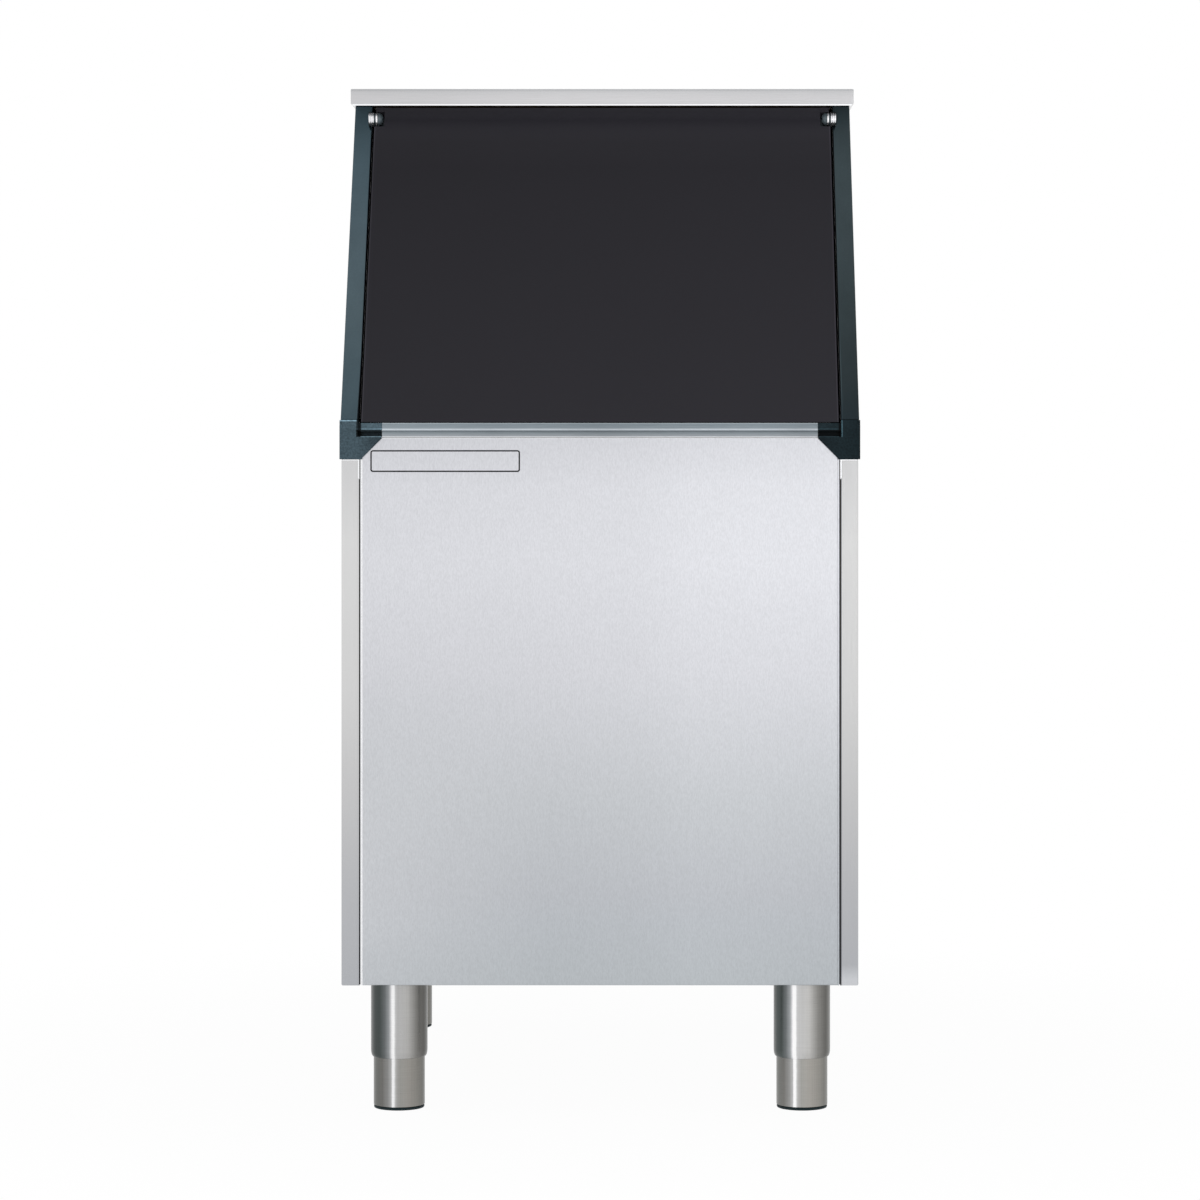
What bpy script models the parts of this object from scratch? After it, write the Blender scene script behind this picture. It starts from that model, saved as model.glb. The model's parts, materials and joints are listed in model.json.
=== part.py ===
"""Ice storage bin: an insulated stainless cabinet on four adjustable legs, with a leaning front door.

The origin is on the floor under the middle of the bin. X runs to the right, Y to the back, Z up.
Depths are measured back from the front panel's face. The door and its posts lean back: on that slope,
s runs up from the seam between post and bracket, and p runs square into the cabinet from the posts' face.
"""

from math import atan2, cos, pi, radians, sin, sqrt

import bmesh
import bpy
from mathutils import Matrix, Vector

# Cabinet
body_width = 0.560
body_depth = 0.813
overall_height = 1.131
body_base_height = 0.1405
sheet = 0.001
bend_radius = 0.0015
clearance = 0.0003
overrun = 0.010

# Front panel and the side panels' return flanges
strip_width = 0.0196
panel_gap = 0.0018
return_depth = 0.012
sill_height = 0.019

# Insulation and tank
insulation = 0.040
floor_insulation = 0.044
liner_wall = 0.0025
header_height = 0.058
header_top_depth = 0.0355
sill_lip_height = 0.004

# Top frame
top_overhang = 0.005
top_brow = 0.0225
top_thickness = 0.017
top_return_width = 0.025
top_opening_side_margin = 0.0309
top_opening_front_margin = 0.020
top_opening_back_margin = 0.0239

# Posts
seam_height = 0.753
post_foot_setback = 0.003
post_head_setback = 0.2055
post_width = 0.0192
post_proud = 0.0012
post_edge_radius = 0.0012

# Corner brackets
bracket_proud = 0.002
bracket_seat_depth = 0.0048
bracket_width = 0.0455
bracket_toe = 0.0025
bracket_ledge = 0.001
bracket_pocket_setback = 0.010
bracket_lip_length = 0.026
bracket_edge_radius = 0.002

# Sill rail
sill_band_setback = 0.003
sill_band_height = 0.006
sill_nose_setback = 0.0006
sill_nose_height = 0.002
sill_upper_setback = 0.0045
sill_door_gap = 0.0008

# Door
door_side_gap = 0.003
door_drop = 0.0024
door_recess = 0.0015
door_thickness = 0.014
door_skin = 0.0025
door_inner_skin = 0.002
door_core_tail = 0.006
door_edge_radius = 0.001
gasket_thickness = 0.0036
gasket_width = 0.012
gasket_inset = 0.002

# Hinges
hinge_drop = 0.0157
hinge_depth = 0.003
pin_radius = 0.0022
pin_seat_depth = 0.012
barrel_radius = 0.008
barrel_length = 0.0062
barrel_groove = 0.0005
washer_radius = 0.0077
washer_thickness = 0.0022
dome_radius = 0.0073
dome_height = 0.006
ear_radius = 0.0065
ear_thickness = 0.0012
hinge_notch_gap = 0.0012
hinge_notch_drop = 0.011
post_slot_length = 0.017
post_slot_tip = 0.0015

# Legs
leg_setback = 0.055
leg_back_margin = 0.158
front_leg_inset = 0.059
rear_leg_inset = 0.031
leg_radius = 0.031
leg_wall = 0.0015
leg_plate_thickness = 0.0025
leg_shoulder_height = 0.0645
leg_shoulder_drop = 0.008
foot_slip = 0.0015
foot_overlap = 0.050
foot_cap_thickness = 0.004
foot_pad_thickness = 0.0032
foot_pad_margin = 0.0004
rod_radius = 0.005
rod_end_height = 0.030
stud_radius = 0.006
stud_length = 0.026
nut_wall = 0.003
nut_height = 0.010
seat_width = 0.004

# Drain
drain_back_margin = 0.123
drain_bore_radius = 0.012
drain_wall = 0.004
drain_flange_lip = 0.012
drain_flange_thickness = 0.002
drain_end_height = 0.105
drain_washer_lip = 0.008
drain_washer_thickness = 0.002
drain_nut_lip = 0.006
drain_nut_height = 0.009
strainer_lip = 0.008
strainer_thickness = 0.0015
strainer_hole_radius = 0.002
strainer_hole_circle = 0.009
strainer_holes = 6

# Badge plate
badge_width = 0.162
badge_height = 0.0236
badge_thickness = 0.0008
badge_corner_radius = 0.0028
badge_left_inset = 0.0101
badge_gap = 0.0005

# Steps round a full turn, and the angles in degrees that count as flat and as a sharp edge
tube_steps = 32
small_steps = 20
flat_angle = 0.5
sharp_angle = 35

# Planes of the cabinet
half_width = body_width / 2
front_y = -(body_depth - bracket_proud) / 2
back_y = front_y + body_depth
underside_z = overall_height - top_thickness
body_top_z = underside_z - clearance
panel_top_z = seam_height - sill_height
base_top_z = body_base_height + sheet + clearance + sheet
back_plate_y = back_y - sheet - clearance

# The slope's angle from vertical and its layers, from the posts' face into the cabinet
slope = atan2(post_head_setback - post_foot_setback, underside_z - seam_height)
door_back_p = door_recess + door_thickness
tray_back_p = door_back_p - door_inner_skin - clearance
post_back_p = door_back_p + clearance + gasket_thickness
flange_front_p = post_back_p + clearance
flange_back_p = flange_front_p + liner_wall
liner_slope_p = flange_back_p + clearance
body_p = flange_back_p + clearance

# Tank
liner_half = half_width - sheet - clearance - insulation - clearance
cavity_half = liner_half - liner_wall
liner_front_y = front_y + sheet + clearance + insulation + clearance
cavity_front_y = liner_front_y + liner_wall
liner_back_y = back_plate_y - sheet - clearance - insulation - clearance
cavity_back_y = liner_back_y - liner_wall
liner_floor_z = base_top_z + clearance + floor_insulation + clearance
cavity_floor_z = liner_floor_z + liner_wall
flange_top_z = body_top_z
flange_under_z = flange_top_z - liner_wall
foam_top_z = flange_under_z - clearance
opening_top_z = underside_z - header_height

# Widths of what lies between the posts
post_outer = half_width + post_proud
post_inner = post_outer - post_width
door_half = post_inner - door_side_gap
bracket_outer = half_width + bracket_proud
bracket_inner = bracket_outer - bracket_width
panel_half = half_width - strip_width - panel_gap
opening_half = cavity_half

# Top opening
top_opening_half = cavity_half - top_opening_side_margin
top_front_y = front_y + post_head_setback - top_brow


def slope_y(z, p):
    """The Y of the slope's layer p at height z."""
    s = (z - seam_height + p * sin(slope)) / cos(slope)
    return front_y + post_foot_setback + s * sin(slope) + p * cos(slope)


def slope_z(y, p):
    """The height of the slope's layer p at Y."""
    s = (y - front_y - post_foot_setback - p * cos(slope)) / sin(slope)
    return seam_height + s * cos(slope) - p * sin(slope)


def on_slope(s, p):
    """The (y, z) of a point at s up the slope and p into it."""
    y = front_y + post_foot_setback + s * sin(slope) + p * cos(slope)
    return y, seam_height + s * cos(slope) - p * sin(slope)


# Header, top opening, and each bracket's foot, which stands where the body's slope begins
header_back_y = slope_y(flange_under_z, flange_back_p) + header_top_depth
top_opening_front_y = header_back_y + top_opening_front_margin
top_opening_back_y = cavity_back_y - top_opening_back_margin
bracket_seat_z = slope_z(front_y + bracket_seat_depth, body_p)
bracket_bottom_z = bracket_seat_z + clearance
bracket_ledge_z = panel_top_z + clearance + bracket_ledge
bracket_chamfer = min(post_inner - bracket_inner, bracket_ledge_z - bracket_bottom_z) - bracket_toe

# Door and hinge axis; the door's top lip swings just under the top frame
axis_z = underside_z - hinge_drop
axis_s = (axis_z - seam_height + hinge_depth * sin(slope)) / cos(slope)
axis_y = on_slope(axis_s, hinge_depth)[0]
door_bottom_z = seam_height - door_drop
door_tail = sqrt((hinge_drop - clearance) ** 2 - (hinge_depth - door_recess) ** 2)
door_top_s = axis_s + door_tail
core_top_s = axis_s + door_core_tail
notch_s = axis_s - hinge_notch_drop
sill_top_z = door_bottom_z - sill_door_gap
sill_lip_z = slope_z(cavity_front_y, flange_back_p) + sill_lip_height

# Places along each hinge pin, out from the middle of the bin
barrel_start = door_half + clearance
barrel_end = barrel_start + barrel_length
ear_end = barrel_start - clearance
ear_start = ear_end - ear_thickness
washer_end = ear_start - clearance
washer_start = washer_end - washer_thickness
dome_end = washer_start - clearance
dome_start = dome_end - dome_height
notch_inner = dome_start - hinge_notch_gap
pin_end = post_inner + pin_seat_depth

# Legs
leg_top_z = body_base_height - clearance
leg_plate_z = leg_top_z - leg_plate_thickness
foot_top_z = leg_shoulder_height + foot_overlap
foot_bottom_z = foot_pad_thickness + clearance
foot_radius = leg_radius - leg_wall - foot_slip
nut_corner = (stud_radius + nut_wall) / cos(pi / 6)
sides = {"left": -1, "right": 1}
leg_places = {}
for word, side in sides.items():
    leg_places["front_" + word] = (side * (half_width - front_leg_inset), front_y + leg_setback)
    leg_places["rear_" + word] = (side * (half_width - rear_leg_inset), back_y - leg_back_margin)

# Drain
drain_radius = drain_bore_radius + drain_wall
drain_y = back_y - drain_back_margin

for old in list(bpy.data.objects):
    bpy.data.objects.remove(old, do_unlink=True)

parts = bpy.data.collections.new("ice_storage_bin")
cutters = bpy.data.collections.new("cutters")
for collection in (parts, cutters):
    bpy.context.scene.collection.children.link(collection)


def finish(name, colour, roughness, metallic=0.0):
    """A material with one colour, roughness and metallic value."""
    material = bpy.data.materials.new(name)
    material.use_nodes = True
    shader = material.node_tree.nodes["Principled BSDF"]
    shader.inputs["Base Color"].default_value = (*colour, 1.0)
    shader.inputs["Roughness"].default_value = roughness
    shader.inputs["Metallic"].default_value = metallic
    return material


stainless = finish("stainless", (0.62, 0.63, 0.64), 0.32, 1.0)
top_stainless = finish("top_stainless", (0.58, 0.58, 0.59), 0.30, 1.0)
satin_tube = finish("satin_tube", (0.56, 0.55, 0.53), 0.28, 1.0)
chrome = finish("chrome", (0.80, 0.80, 0.81), 0.12, 1.0)
dark_steel = finish("dark_steel", (0.10, 0.12, 0.12), 0.30, 1.0)
zinc = finish("zinc", (0.55, 0.56, 0.57), 0.45, 1.0)
trim_plastic = finish("trim_plastic", (0.055, 0.085, 0.105), 0.38)
door_plastic = finish("door_plastic", (0.027, 0.025, 0.030), 0.42)
liner_plastic = finish("liner_plastic", (0.78, 0.80, 0.80), 0.45)
foam = finish("foam", (0.80, 0.72, 0.48), 0.90)
rubber = finish("rubber", (0.020, 0.020, 0.022), 0.75)
drain_plastic = finish("drain_plastic", (0.60, 0.62, 0.62), 0.50)


def add(name, mesh, material, collection=parts):
    """An object of the part, with its material."""
    thing = bpy.data.objects.new(name, mesh)
    if material:
        mesh.materials.append(material)
    collection.objects.link(thing)
    return thing


def helper(name, mesh):
    """A hidden object that cuts or joins another."""
    thing = add(name, mesh, None, cutters)
    thing.hide_render = True
    thing.display_type = "WIRE"
    return thing


def boolean(thing, other, operation="DIFFERENCE"):
    step = thing.modifiers.new(other.name, "BOOLEAN")
    step.operation = operation
    step.object = other


def box(name, low, high):
    """A box between two corners."""
    shape = bmesh.new()
    bmesh.ops.create_cube(shape, size=1)
    for vert in shape.verts:
        vert.co = [high[i] if vert.co[i] > 0 else low[i] for i in range(3)]
    mesh = bpy.data.meshes.new(name)
    shape.to_mesh(mesh)
    shape.free()
    return mesh


def prism(name, points, low, high, axis="X"):
    """A flat outline swept from low to high: (y, z) points along X, (x, z) along Y, (x, y) along Z."""
    curve = bpy.data.curves.new(name, "CURVE")
    curve.dimensions = "2D"
    curve.fill_mode = "BOTH"
    curve.extrude = (high - low) / 2
    spline = curve.splines.new("POLY")
    spline.points.add(len(points) - 1)
    for point, (u, v) in zip(spline.points, points):
        point.co = (u, v, 0, 1)
    spline.use_cyclic_u = True
    guide = bpy.data.objects.new(name, curve)
    cutters.objects.link(guide)
    solid = guide.evaluated_get(bpy.context.evaluated_depsgraph_get())
    mesh = bpy.data.meshes.new_from_object(solid)
    bpy.data.objects.remove(guide, do_unlink=True)
    shape = bmesh.new()
    shape.from_mesh(mesh)
    bmesh.ops.remove_doubles(shape, verts=shape.verts, dist=clearance / 10)
    for vert in shape.verts:
        u, v, w = vert.co
        end = high if w > 0 else low
        vert.co = {"X": (end, u, v), "Y": (u, end, v), "Z": (u, v, end)}[axis]
    shape.normal_update()
    bmesh.ops.dissolve_limit(shape, angle_limit=radians(flat_angle), verts=shape.verts, edges=shape.edges)
    bmesh.ops.recalc_face_normals(shape, faces=shape.faces)
    shape.to_mesh(mesh)
    shape.free()
    return mesh


def side_prism(name, points, near, far, side):
    """A prism along X between two distances from the middle, on one side of the bin."""
    low, high = sorted((side * near, side * far))
    return prism(name, points, low, high)


def side_box(name, near, far, side, depth_range, height_range):
    low, high = sorted((side * near, side * far))
    return box(name, (low, depth_range[0], height_range[0]), (high, depth_range[1], height_range[1]))


def turned(name, profile, place, material, steps=tube_steps, closed=False, toward=None, parent=None):
    """A profile of (radius, height) points turned round its axis, which is Z or, with toward, along X."""
    mesh = bpy.data.meshes.new(name)
    edges = [(i, i + 1) for i in range(len(profile) - 1)]
    if closed:
        edges.append((len(profile) - 1, 0))
    mesh.from_pydata([(r, 0, z) for r, z in profile], edges, [])
    thing = add(name, mesh, material) if material else helper(name, mesh)
    thing.location = place
    if toward:
        thing.rotation_euler = (0, toward * pi / 2, 0)
    if parent:
        thing.parent = parent
    screw = thing.modifiers.new("turn", "SCREW")
    screw.steps = screw.render_steps = steps
    screw.use_merge_vertices = True
    screw.merge_threshold = clearance / 10
    solid = thing.evaluated_get(bpy.context.evaluated_depsgraph_get())
    thing.data = bpy.data.meshes.new_from_object(solid)
    thing.modifiers.clear()
    bpy.data.meshes.remove(mesh)
    thing.data.shade_smooth()
    thing.data.set_sharp_from_angle(angle=radians(sharp_angle))
    return thing


def ring(inner, outer, low, high):
    """The closed profile of a plain ring."""
    return [(inner, high), (outer, high), (outer, low), (inner, low)]


def disc(radius, low, high):
    """The open profile of a plain disc, from its top centre to its bottom centre."""
    return [(0, high), (radius, high), (radius, low), (0, low)]


def arc(centre, radius, start, end, count):
    """Points on an arc, by its angles in degrees."""
    angles = [radians(start + (end - start) * i / count) for i in range(count + 1)]
    return [(centre[0] + radius * cos(a), centre[1] + radius * sin(a)) for a in angles]


def round_edges(thing, chosen, radius, segments=2):
    """Rounds the edges whose two ends both satisfy the test."""
    mesh = thing.data
    weights = mesh.attributes.new("bevel_weight_edge", "FLOAT", "EDGE")
    for edge, weight in zip(mesh.edges, weights.data):
        if all(chosen(mesh.vertices[i].co) for i in edge.vertices):
            weight.value = 1
    bevel = thing.modifiers.new("round", "BEVEL")
    bevel.limit_method = "WEIGHT"
    bevel.width = radius
    bevel.segments = segments


def hold(thing, pivot):
    """Hangs an object built in place under the empty on its joint's axis."""
    thing.data.transform(Matrix.Translation(-pivot.location))
    thing.parent = pivot


def pivot_at(name, place):
    pivot = bpy.data.objects.new(name, None)
    pivot.location = place
    parts.objects.link(pivot)
    return pivot


def make_side_panel(word, side):
    """A pressed tray that follows the cabinet's side, open towards the inside."""
    name = word + "_side_panel"

    def outline(inset, p):
        return [
            (front_y + inset, body_base_height + inset),
            (front_y + inset, bracket_seat_z - inset),
            (slope_y(bracket_seat_z - inset, p), bracket_seat_z - inset),
            (slope_y(body_top_z - inset, p), body_top_z - inset),
            (back_y - inset, body_top_z - inset),
            (back_y - inset, body_base_height + inset),
        ]

    near = half_width - strip_width
    far = half_width - sheet
    panel = add(name, side_prism(name, outline(0, body_p), near, half_width, side), stainless)
    outer_x = side * half_width
    round_edges(panel, lambda co: abs(co.x - outer_x) < clearance, bend_radius)
    hollow = side_prism(name + "_hollow", outline(sheet, body_p + sheet), near - overrun, far, side)
    boolean(panel, helper(name + "_hollow", hollow))


def make_front_panel():
    """A pressed tray with its edges turned back."""
    low = (-panel_half, front_y, body_base_height)
    high = (panel_half, front_y + return_depth, panel_top_z)
    panel = add("front_panel", box("front_panel", low, high), stainless)
    round_edges(panel, lambda co: co.y < front_y + clearance, bend_radius)
    hollow_low = (low[0] + sheet, front_y + sheet, low[2] + sheet)
    hollow_high = (high[0] - sheet, high[1] + overrun, high[2] - sheet)
    boolean(panel, helper("front_panel_hollow", box("front_panel_hollow", hollow_low, hollow_high)))


def make_back_and_base():
    """Flat plates inside the side panels' flanges; the base takes the legs' studs and the drain."""
    plate_half = half_width - sheet - clearance
    low_z = body_base_height + sheet + clearance
    back_low = (-plate_half, back_plate_y - sheet, base_top_z + clearance)
    back_high = (plate_half, back_plate_y, body_top_z - sheet - clearance)
    add("back_panel", box("back_panel", back_low, back_high), zinc)
    base_low = (-plate_half, front_y + sheet + clearance, low_z)
    base_high = (plate_half, back_plate_y, base_top_z)
    base = add("base_panel", box("base_panel", base_low, base_high), zinc)
    corner_y = (front_y - overrun, front_y + return_depth + clearance)
    corner_z = (low_z - overrun, base_top_z + overrun)
    nose_half = panel_half - sheet - clearance
    for word, side in sides.items():
        name = word + "_base_corner"
        corner = side_box(name, nose_half, plate_half + overrun, side, corner_y, corner_z)
        boolean(base, helper(name, corner))
    for word, (x, y) in leg_places.items():
        hole = disc(stud_radius + clearance, low_z - overrun, base_top_z + overrun)
        boolean(base, turned(word + "_stud_hole", hole, (x, y, 0), None, small_steps))
    drain_hole = disc(drain_radius + clearance, low_z - overrun, base_top_z + overrun)
    place = (0, drain_y, 0)
    boolean(base, turned("base_drain_hole", drain_hole, place, None, small_steps))


def make_tank():
    """The liner: a tank with a flange round the leaning door opening and a ceiling round the top opening."""
    flange_half = half_width - sheet / 2
    middle_p = (flange_front_p + flange_back_p) / 2
    middle_z = (flange_under_z + flange_top_z) / 2
    outer = [
        (liner_front_y, liner_floor_z),
        (liner_front_y, slope_z(liner_front_y, middle_p)),
        (slope_y(middle_z, middle_p), middle_z),
        (liner_back_y, middle_z),
        (liner_back_y, liner_floor_z),
    ]
    tank = add("inner_tank", prism("inner_tank", outer, -liner_half, liner_half), liner_plastic)
    low_z = panel_top_z + clearance
    slope_flange = [
        (slope_y(low_z, flange_front_p), low_z),
        (slope_y(flange_top_z, flange_front_p), flange_top_z),
        (slope_y(flange_top_z, flange_back_p), flange_top_z),
        (slope_y(low_z, flange_back_p), low_z),
    ]
    name = "tank_slope_flange"
    boolean(tank, helper(name, prism(name, slope_flange, -flange_half, flange_half)), "UNION")
    ceiling_half = half_width - strip_width - clearance
    ceiling = [
        (slope_y(flange_under_z, middle_p), flange_under_z),
        (slope_y(flange_top_z, middle_p), flange_top_z),
        (liner_back_y + insulation / 2, flange_top_z),
        (liner_back_y + insulation / 2, flange_under_z),
    ]
    name = "tank_ceiling"
    boolean(tank, helper(name, prism(name, ceiling, -ceiling_half, ceiling_half)), "UNION")
    cavity = [
        (cavity_front_y, cavity_floor_z),
        (cavity_front_y, slope_z(cavity_front_y, liner_slope_p)),
        (slope_y(opening_top_z, liner_slope_p), opening_top_z),
        (header_back_y, opening_top_z),
        (header_back_y, flange_under_z),
        (cavity_back_y, flange_under_z),
        (cavity_back_y, cavity_floor_z),
    ]
    boolean(tank, helper("tank_cavity", prism("tank_cavity", cavity, -cavity_half, cavity_half)))
    pocket_half = liner_half + overrun
    pocket = prism("header_pocket", header_outline(0), -pocket_half, pocket_half)
    boolean(tank, helper("header_pocket", pocket))
    near_p = flange_front_p - overrun
    far_p = flange_back_p + overrun
    doorway = [
        (slope_y(sill_lip_z, near_p), sill_lip_z),
        (slope_y(opening_top_z, near_p), opening_top_z),
        (slope_y(opening_top_z, far_p), opening_top_z),
        (slope_y(sill_lip_z, far_p), sill_lip_z),
    ]
    boolean(tank, helper("doorway", prism("doorway", doorway, -opening_half, opening_half)))
    collar = sheet + clearance
    low = (-top_opening_half - collar, top_opening_front_y - collar, flange_under_z - overrun)
    high = (top_opening_half + collar, top_opening_back_y + collar, flange_top_z + overrun)
    boolean(tank, helper("ceiling_opening", box("ceiling_opening", low, high)))
    drain_hole = disc(drain_radius + clearance, liner_floor_z - overrun, cavity_floor_z + overrun)
    place = (0, drain_y, 0)
    boolean(tank, turned("tank_drain_hole", drain_hole, place, None, small_steps))


def header_outline(inset):
    """The header's section over the door opening, between the slope flange and the liner's fold."""
    low_z = opening_top_z + liner_wall + inset
    high_z = flange_under_z - inset
    back = header_back_y - liner_wall - inset
    p = liner_slope_p + inset
    return [(slope_y(low_z, p), low_z), (slope_y(high_z, p), high_z), (back, high_z), (back, low_z)]


def make_insulation():
    """Slabs of foam between the tank and the outer panels."""
    foam_half = half_width - sheet - clearance
    low_z = base_top_z + clearance
    front_face = front_y + sheet + clearance
    back_face = back_plate_y - sheet - clearance
    side_front = front_y + return_depth + clearance
    side_p = body_p + sheet + clearance
    front_back = liner_front_y - clearance
    side = [
        (side_front, low_z),
        (side_front, slope_z(side_front, side_p)),
        (slope_y(foam_top_z, side_p), foam_top_z),
        (back_face, foam_top_z),
        (back_face, liner_floor_z),
        (front_back, liner_floor_z),
        (front_back, low_z),
    ]
    for word, sign in sides.items():
        name = word + "_insulation"
        add(name, side_prism(name, side, liner_half + clearance, foam_half, sign), foam)
    front_top = panel_top_z - sheet - clearance
    front = [
        (front_face, low_z),
        (front_face, front_top),
        (slope_y(front_top, body_p), front_top),
        (front_back, slope_z(front_back, body_p)),
        (front_back, low_z),
    ]
    add("front_insulation", prism("front_insulation", front, -liner_half, liner_half), foam)
    low = (-liner_half, liner_back_y + clearance, liner_floor_z)
    high = (liner_half, back_face, foam_top_z)
    add("back_insulation", box("back_insulation", low, high), foam)
    low = (-foam_half, liner_front_y, low_z)
    high = (foam_half, back_face, liner_floor_z - clearance)
    slab = add("floor_insulation", box("floor_insulation", low, high), foam)
    pocket_top = leg_top_z + stud_length + clearance
    for word, (x, y) in leg_places.items():
        profile = disc(nut_corner + clearance, body_base_height, pocket_top)
        boolean(slab, turned(word + "_stud_pocket", profile, (x, y, 0), None, small_steps))
    drain_hole = disc(drain_radius + clearance, low_z - overrun, liner_floor_z + overrun)
    place = (0, drain_y, 0)
    boolean(slab, turned("foam_drain_hole", drain_hole, place, None, small_steps))
    header = prism("header_insulation", header_outline(clearance), -liner_half, liner_half)
    add("header_insulation", header, foam)


def make_top():
    """The frame that an ice machine stands on: a turned-down rim, a collar round the opening, and a core."""
    half = half_width + top_overhang
    low = (-half, top_front_y, underside_z)
    high = (half, back_y, overall_height)
    frame = add("top_frame", box("top_frame", low, high), top_stainless)
    round_edges(frame, lambda co: co.z > overall_height - clearance, bend_radius)
    opening_low = (-top_opening_half, top_opening_front_y, underside_z)
    opening_high = (top_opening_half, top_opening_back_y, overall_height)

    def ring_helper(name, inset, collar, low_z, high_z):
        """A frame-shaped helper between the rim, less an inset, and the opening's collar."""
        ring_low = (low[0] + inset, low[1] + inset, low_z)
        ring_high = (high[0] - inset, high[1] - inset, high_z)
        shape = helper(name, box(name, ring_low, ring_high))
        hole_low = (opening_low[0] - collar, opening_low[1] - collar, low_z - overrun)
        hole_high = (opening_high[0] + collar, opening_high[1] + collar, high_z + overrun)
        boolean(shape, helper(name + "_middle", box(name + "_middle", hole_low, hole_high)))
        return shape

    channel_z = (underside_z + sheet, overall_height - sheet)
    boolean(frame, ring_helper("top_channel", sheet, sheet, *channel_z))
    slot_z = (underside_z - overrun, underside_z + 2 * sheet)
    boolean(frame, ring_helper("top_slot", top_return_width, sheet, *slot_z))
    opening = box(
        "top_opening",
        (opening_low[0], opening_low[1], underside_z - overrun),
        (opening_high[0], opening_high[1], overall_height + overrun),
    )
    boolean(frame, helper("top_opening", opening))
    seat = sheet + clearance
    core_low = (low[0] + seat, low[1] + seat, channel_z[0] + clearance)
    core_high = (high[0] - seat, high[1] - seat, channel_z[1] - clearance)
    core = add("top_core", box("top_core", core_low, core_high), foam)
    hole = box(
        "top_core_hole",
        (opening_low[0] - seat, opening_low[1] - seat, underside_z - overrun),
        (opening_high[0] + seat, opening_high[1] + seat, overall_height + overrun),
    )
    boolean(core, helper("top_core_hole", hole))


def make_post(word, side):
    """A sloped side post, with a slot for the hinge barrel and a blind hole for the pin."""
    name = word + "_post"
    low_z = seam_height + clearance
    outline = [
        (slope_y(low_z, 0), low_z),
        (slope_y(body_top_z, 0), body_top_z),
        (slope_y(body_top_z, post_back_p), body_top_z),
        (slope_y(low_z, post_back_p), low_z),
    ]
    post = add(name, side_prism(name, outline, post_inner, post_outer, side), trim_plastic)
    round_edges(post, lambda co: abs(co.y - slope_y(co.z, 0)) < clearance, post_edge_radius)
    slot_far = barrel_end + clearance
    slot_low_s = axis_s - post_slot_length
    slot_top_s = axis_s + barrel_radius + clearance
    slot_outline = [
        (side * (post_inner - overrun), slot_low_s),
        (side * (post_inner + post_slot_tip), slot_low_s),
        (side * slot_far, axis_s - barrel_radius - clearance),
        (side * slot_far, slot_top_s),
        (side * (post_inner - overrun), slot_top_s),
    ]
    slot_depth = hinge_depth + barrel_radius + clearance
    slot = prism(name + "_slot", slot_outline, -overrun, slot_depth, "Y")
    slot.transform(slope_matrix())
    boolean(post, helper(name + "_slot", slot))
    bore = disc(pin_radius + clearance, post_inner - overrun, pin_end + clearance)
    boolean(post, turned(name + "_bore", bore, (0, axis_y, axis_z), None, small_steps, toward=side))


def slope_matrix():
    """Carries (x, p, s) to the slope: p into the cabinet, s up from the seam."""
    start = Matrix.Translation((0, front_y + post_foot_setback, seam_height))
    return start @ Matrix.Rotation(-slope, 4, "X")


def sill_outline(band_setback, back_p):
    """The stepped section of the sill: a lower band, a nose, an upper band and a flat top under the door."""
    low_z = panel_top_z + clearance
    band_z = low_z + sill_band_height
    nose_z = band_z + sill_nose_height
    band_y = front_y + band_setback
    nose_y = front_y + sill_nose_setback
    upper_y = front_y + sill_upper_setback
    nose_round = sill_nose_height / 4
    return [
        (band_y, low_z),
        (band_y, band_z),
        (nose_y + nose_round, band_z),
        (nose_y, band_z + nose_round),
        (nose_y, nose_z - nose_round),
        (nose_y + nose_round, nose_z),
        (upper_y, nose_z),
        (upper_y, sill_top_z),
        (slope_y(sill_top_z, back_p), sill_top_z),
        (slope_y(low_z, back_p), low_z),
    ]


def make_sill():
    reach = bracket_inner - clearance
    outline = sill_outline(sill_band_setback, post_back_p)
    add("sill_rail", prism("sill_rail", outline, -reach, reach), stainless)


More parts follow.
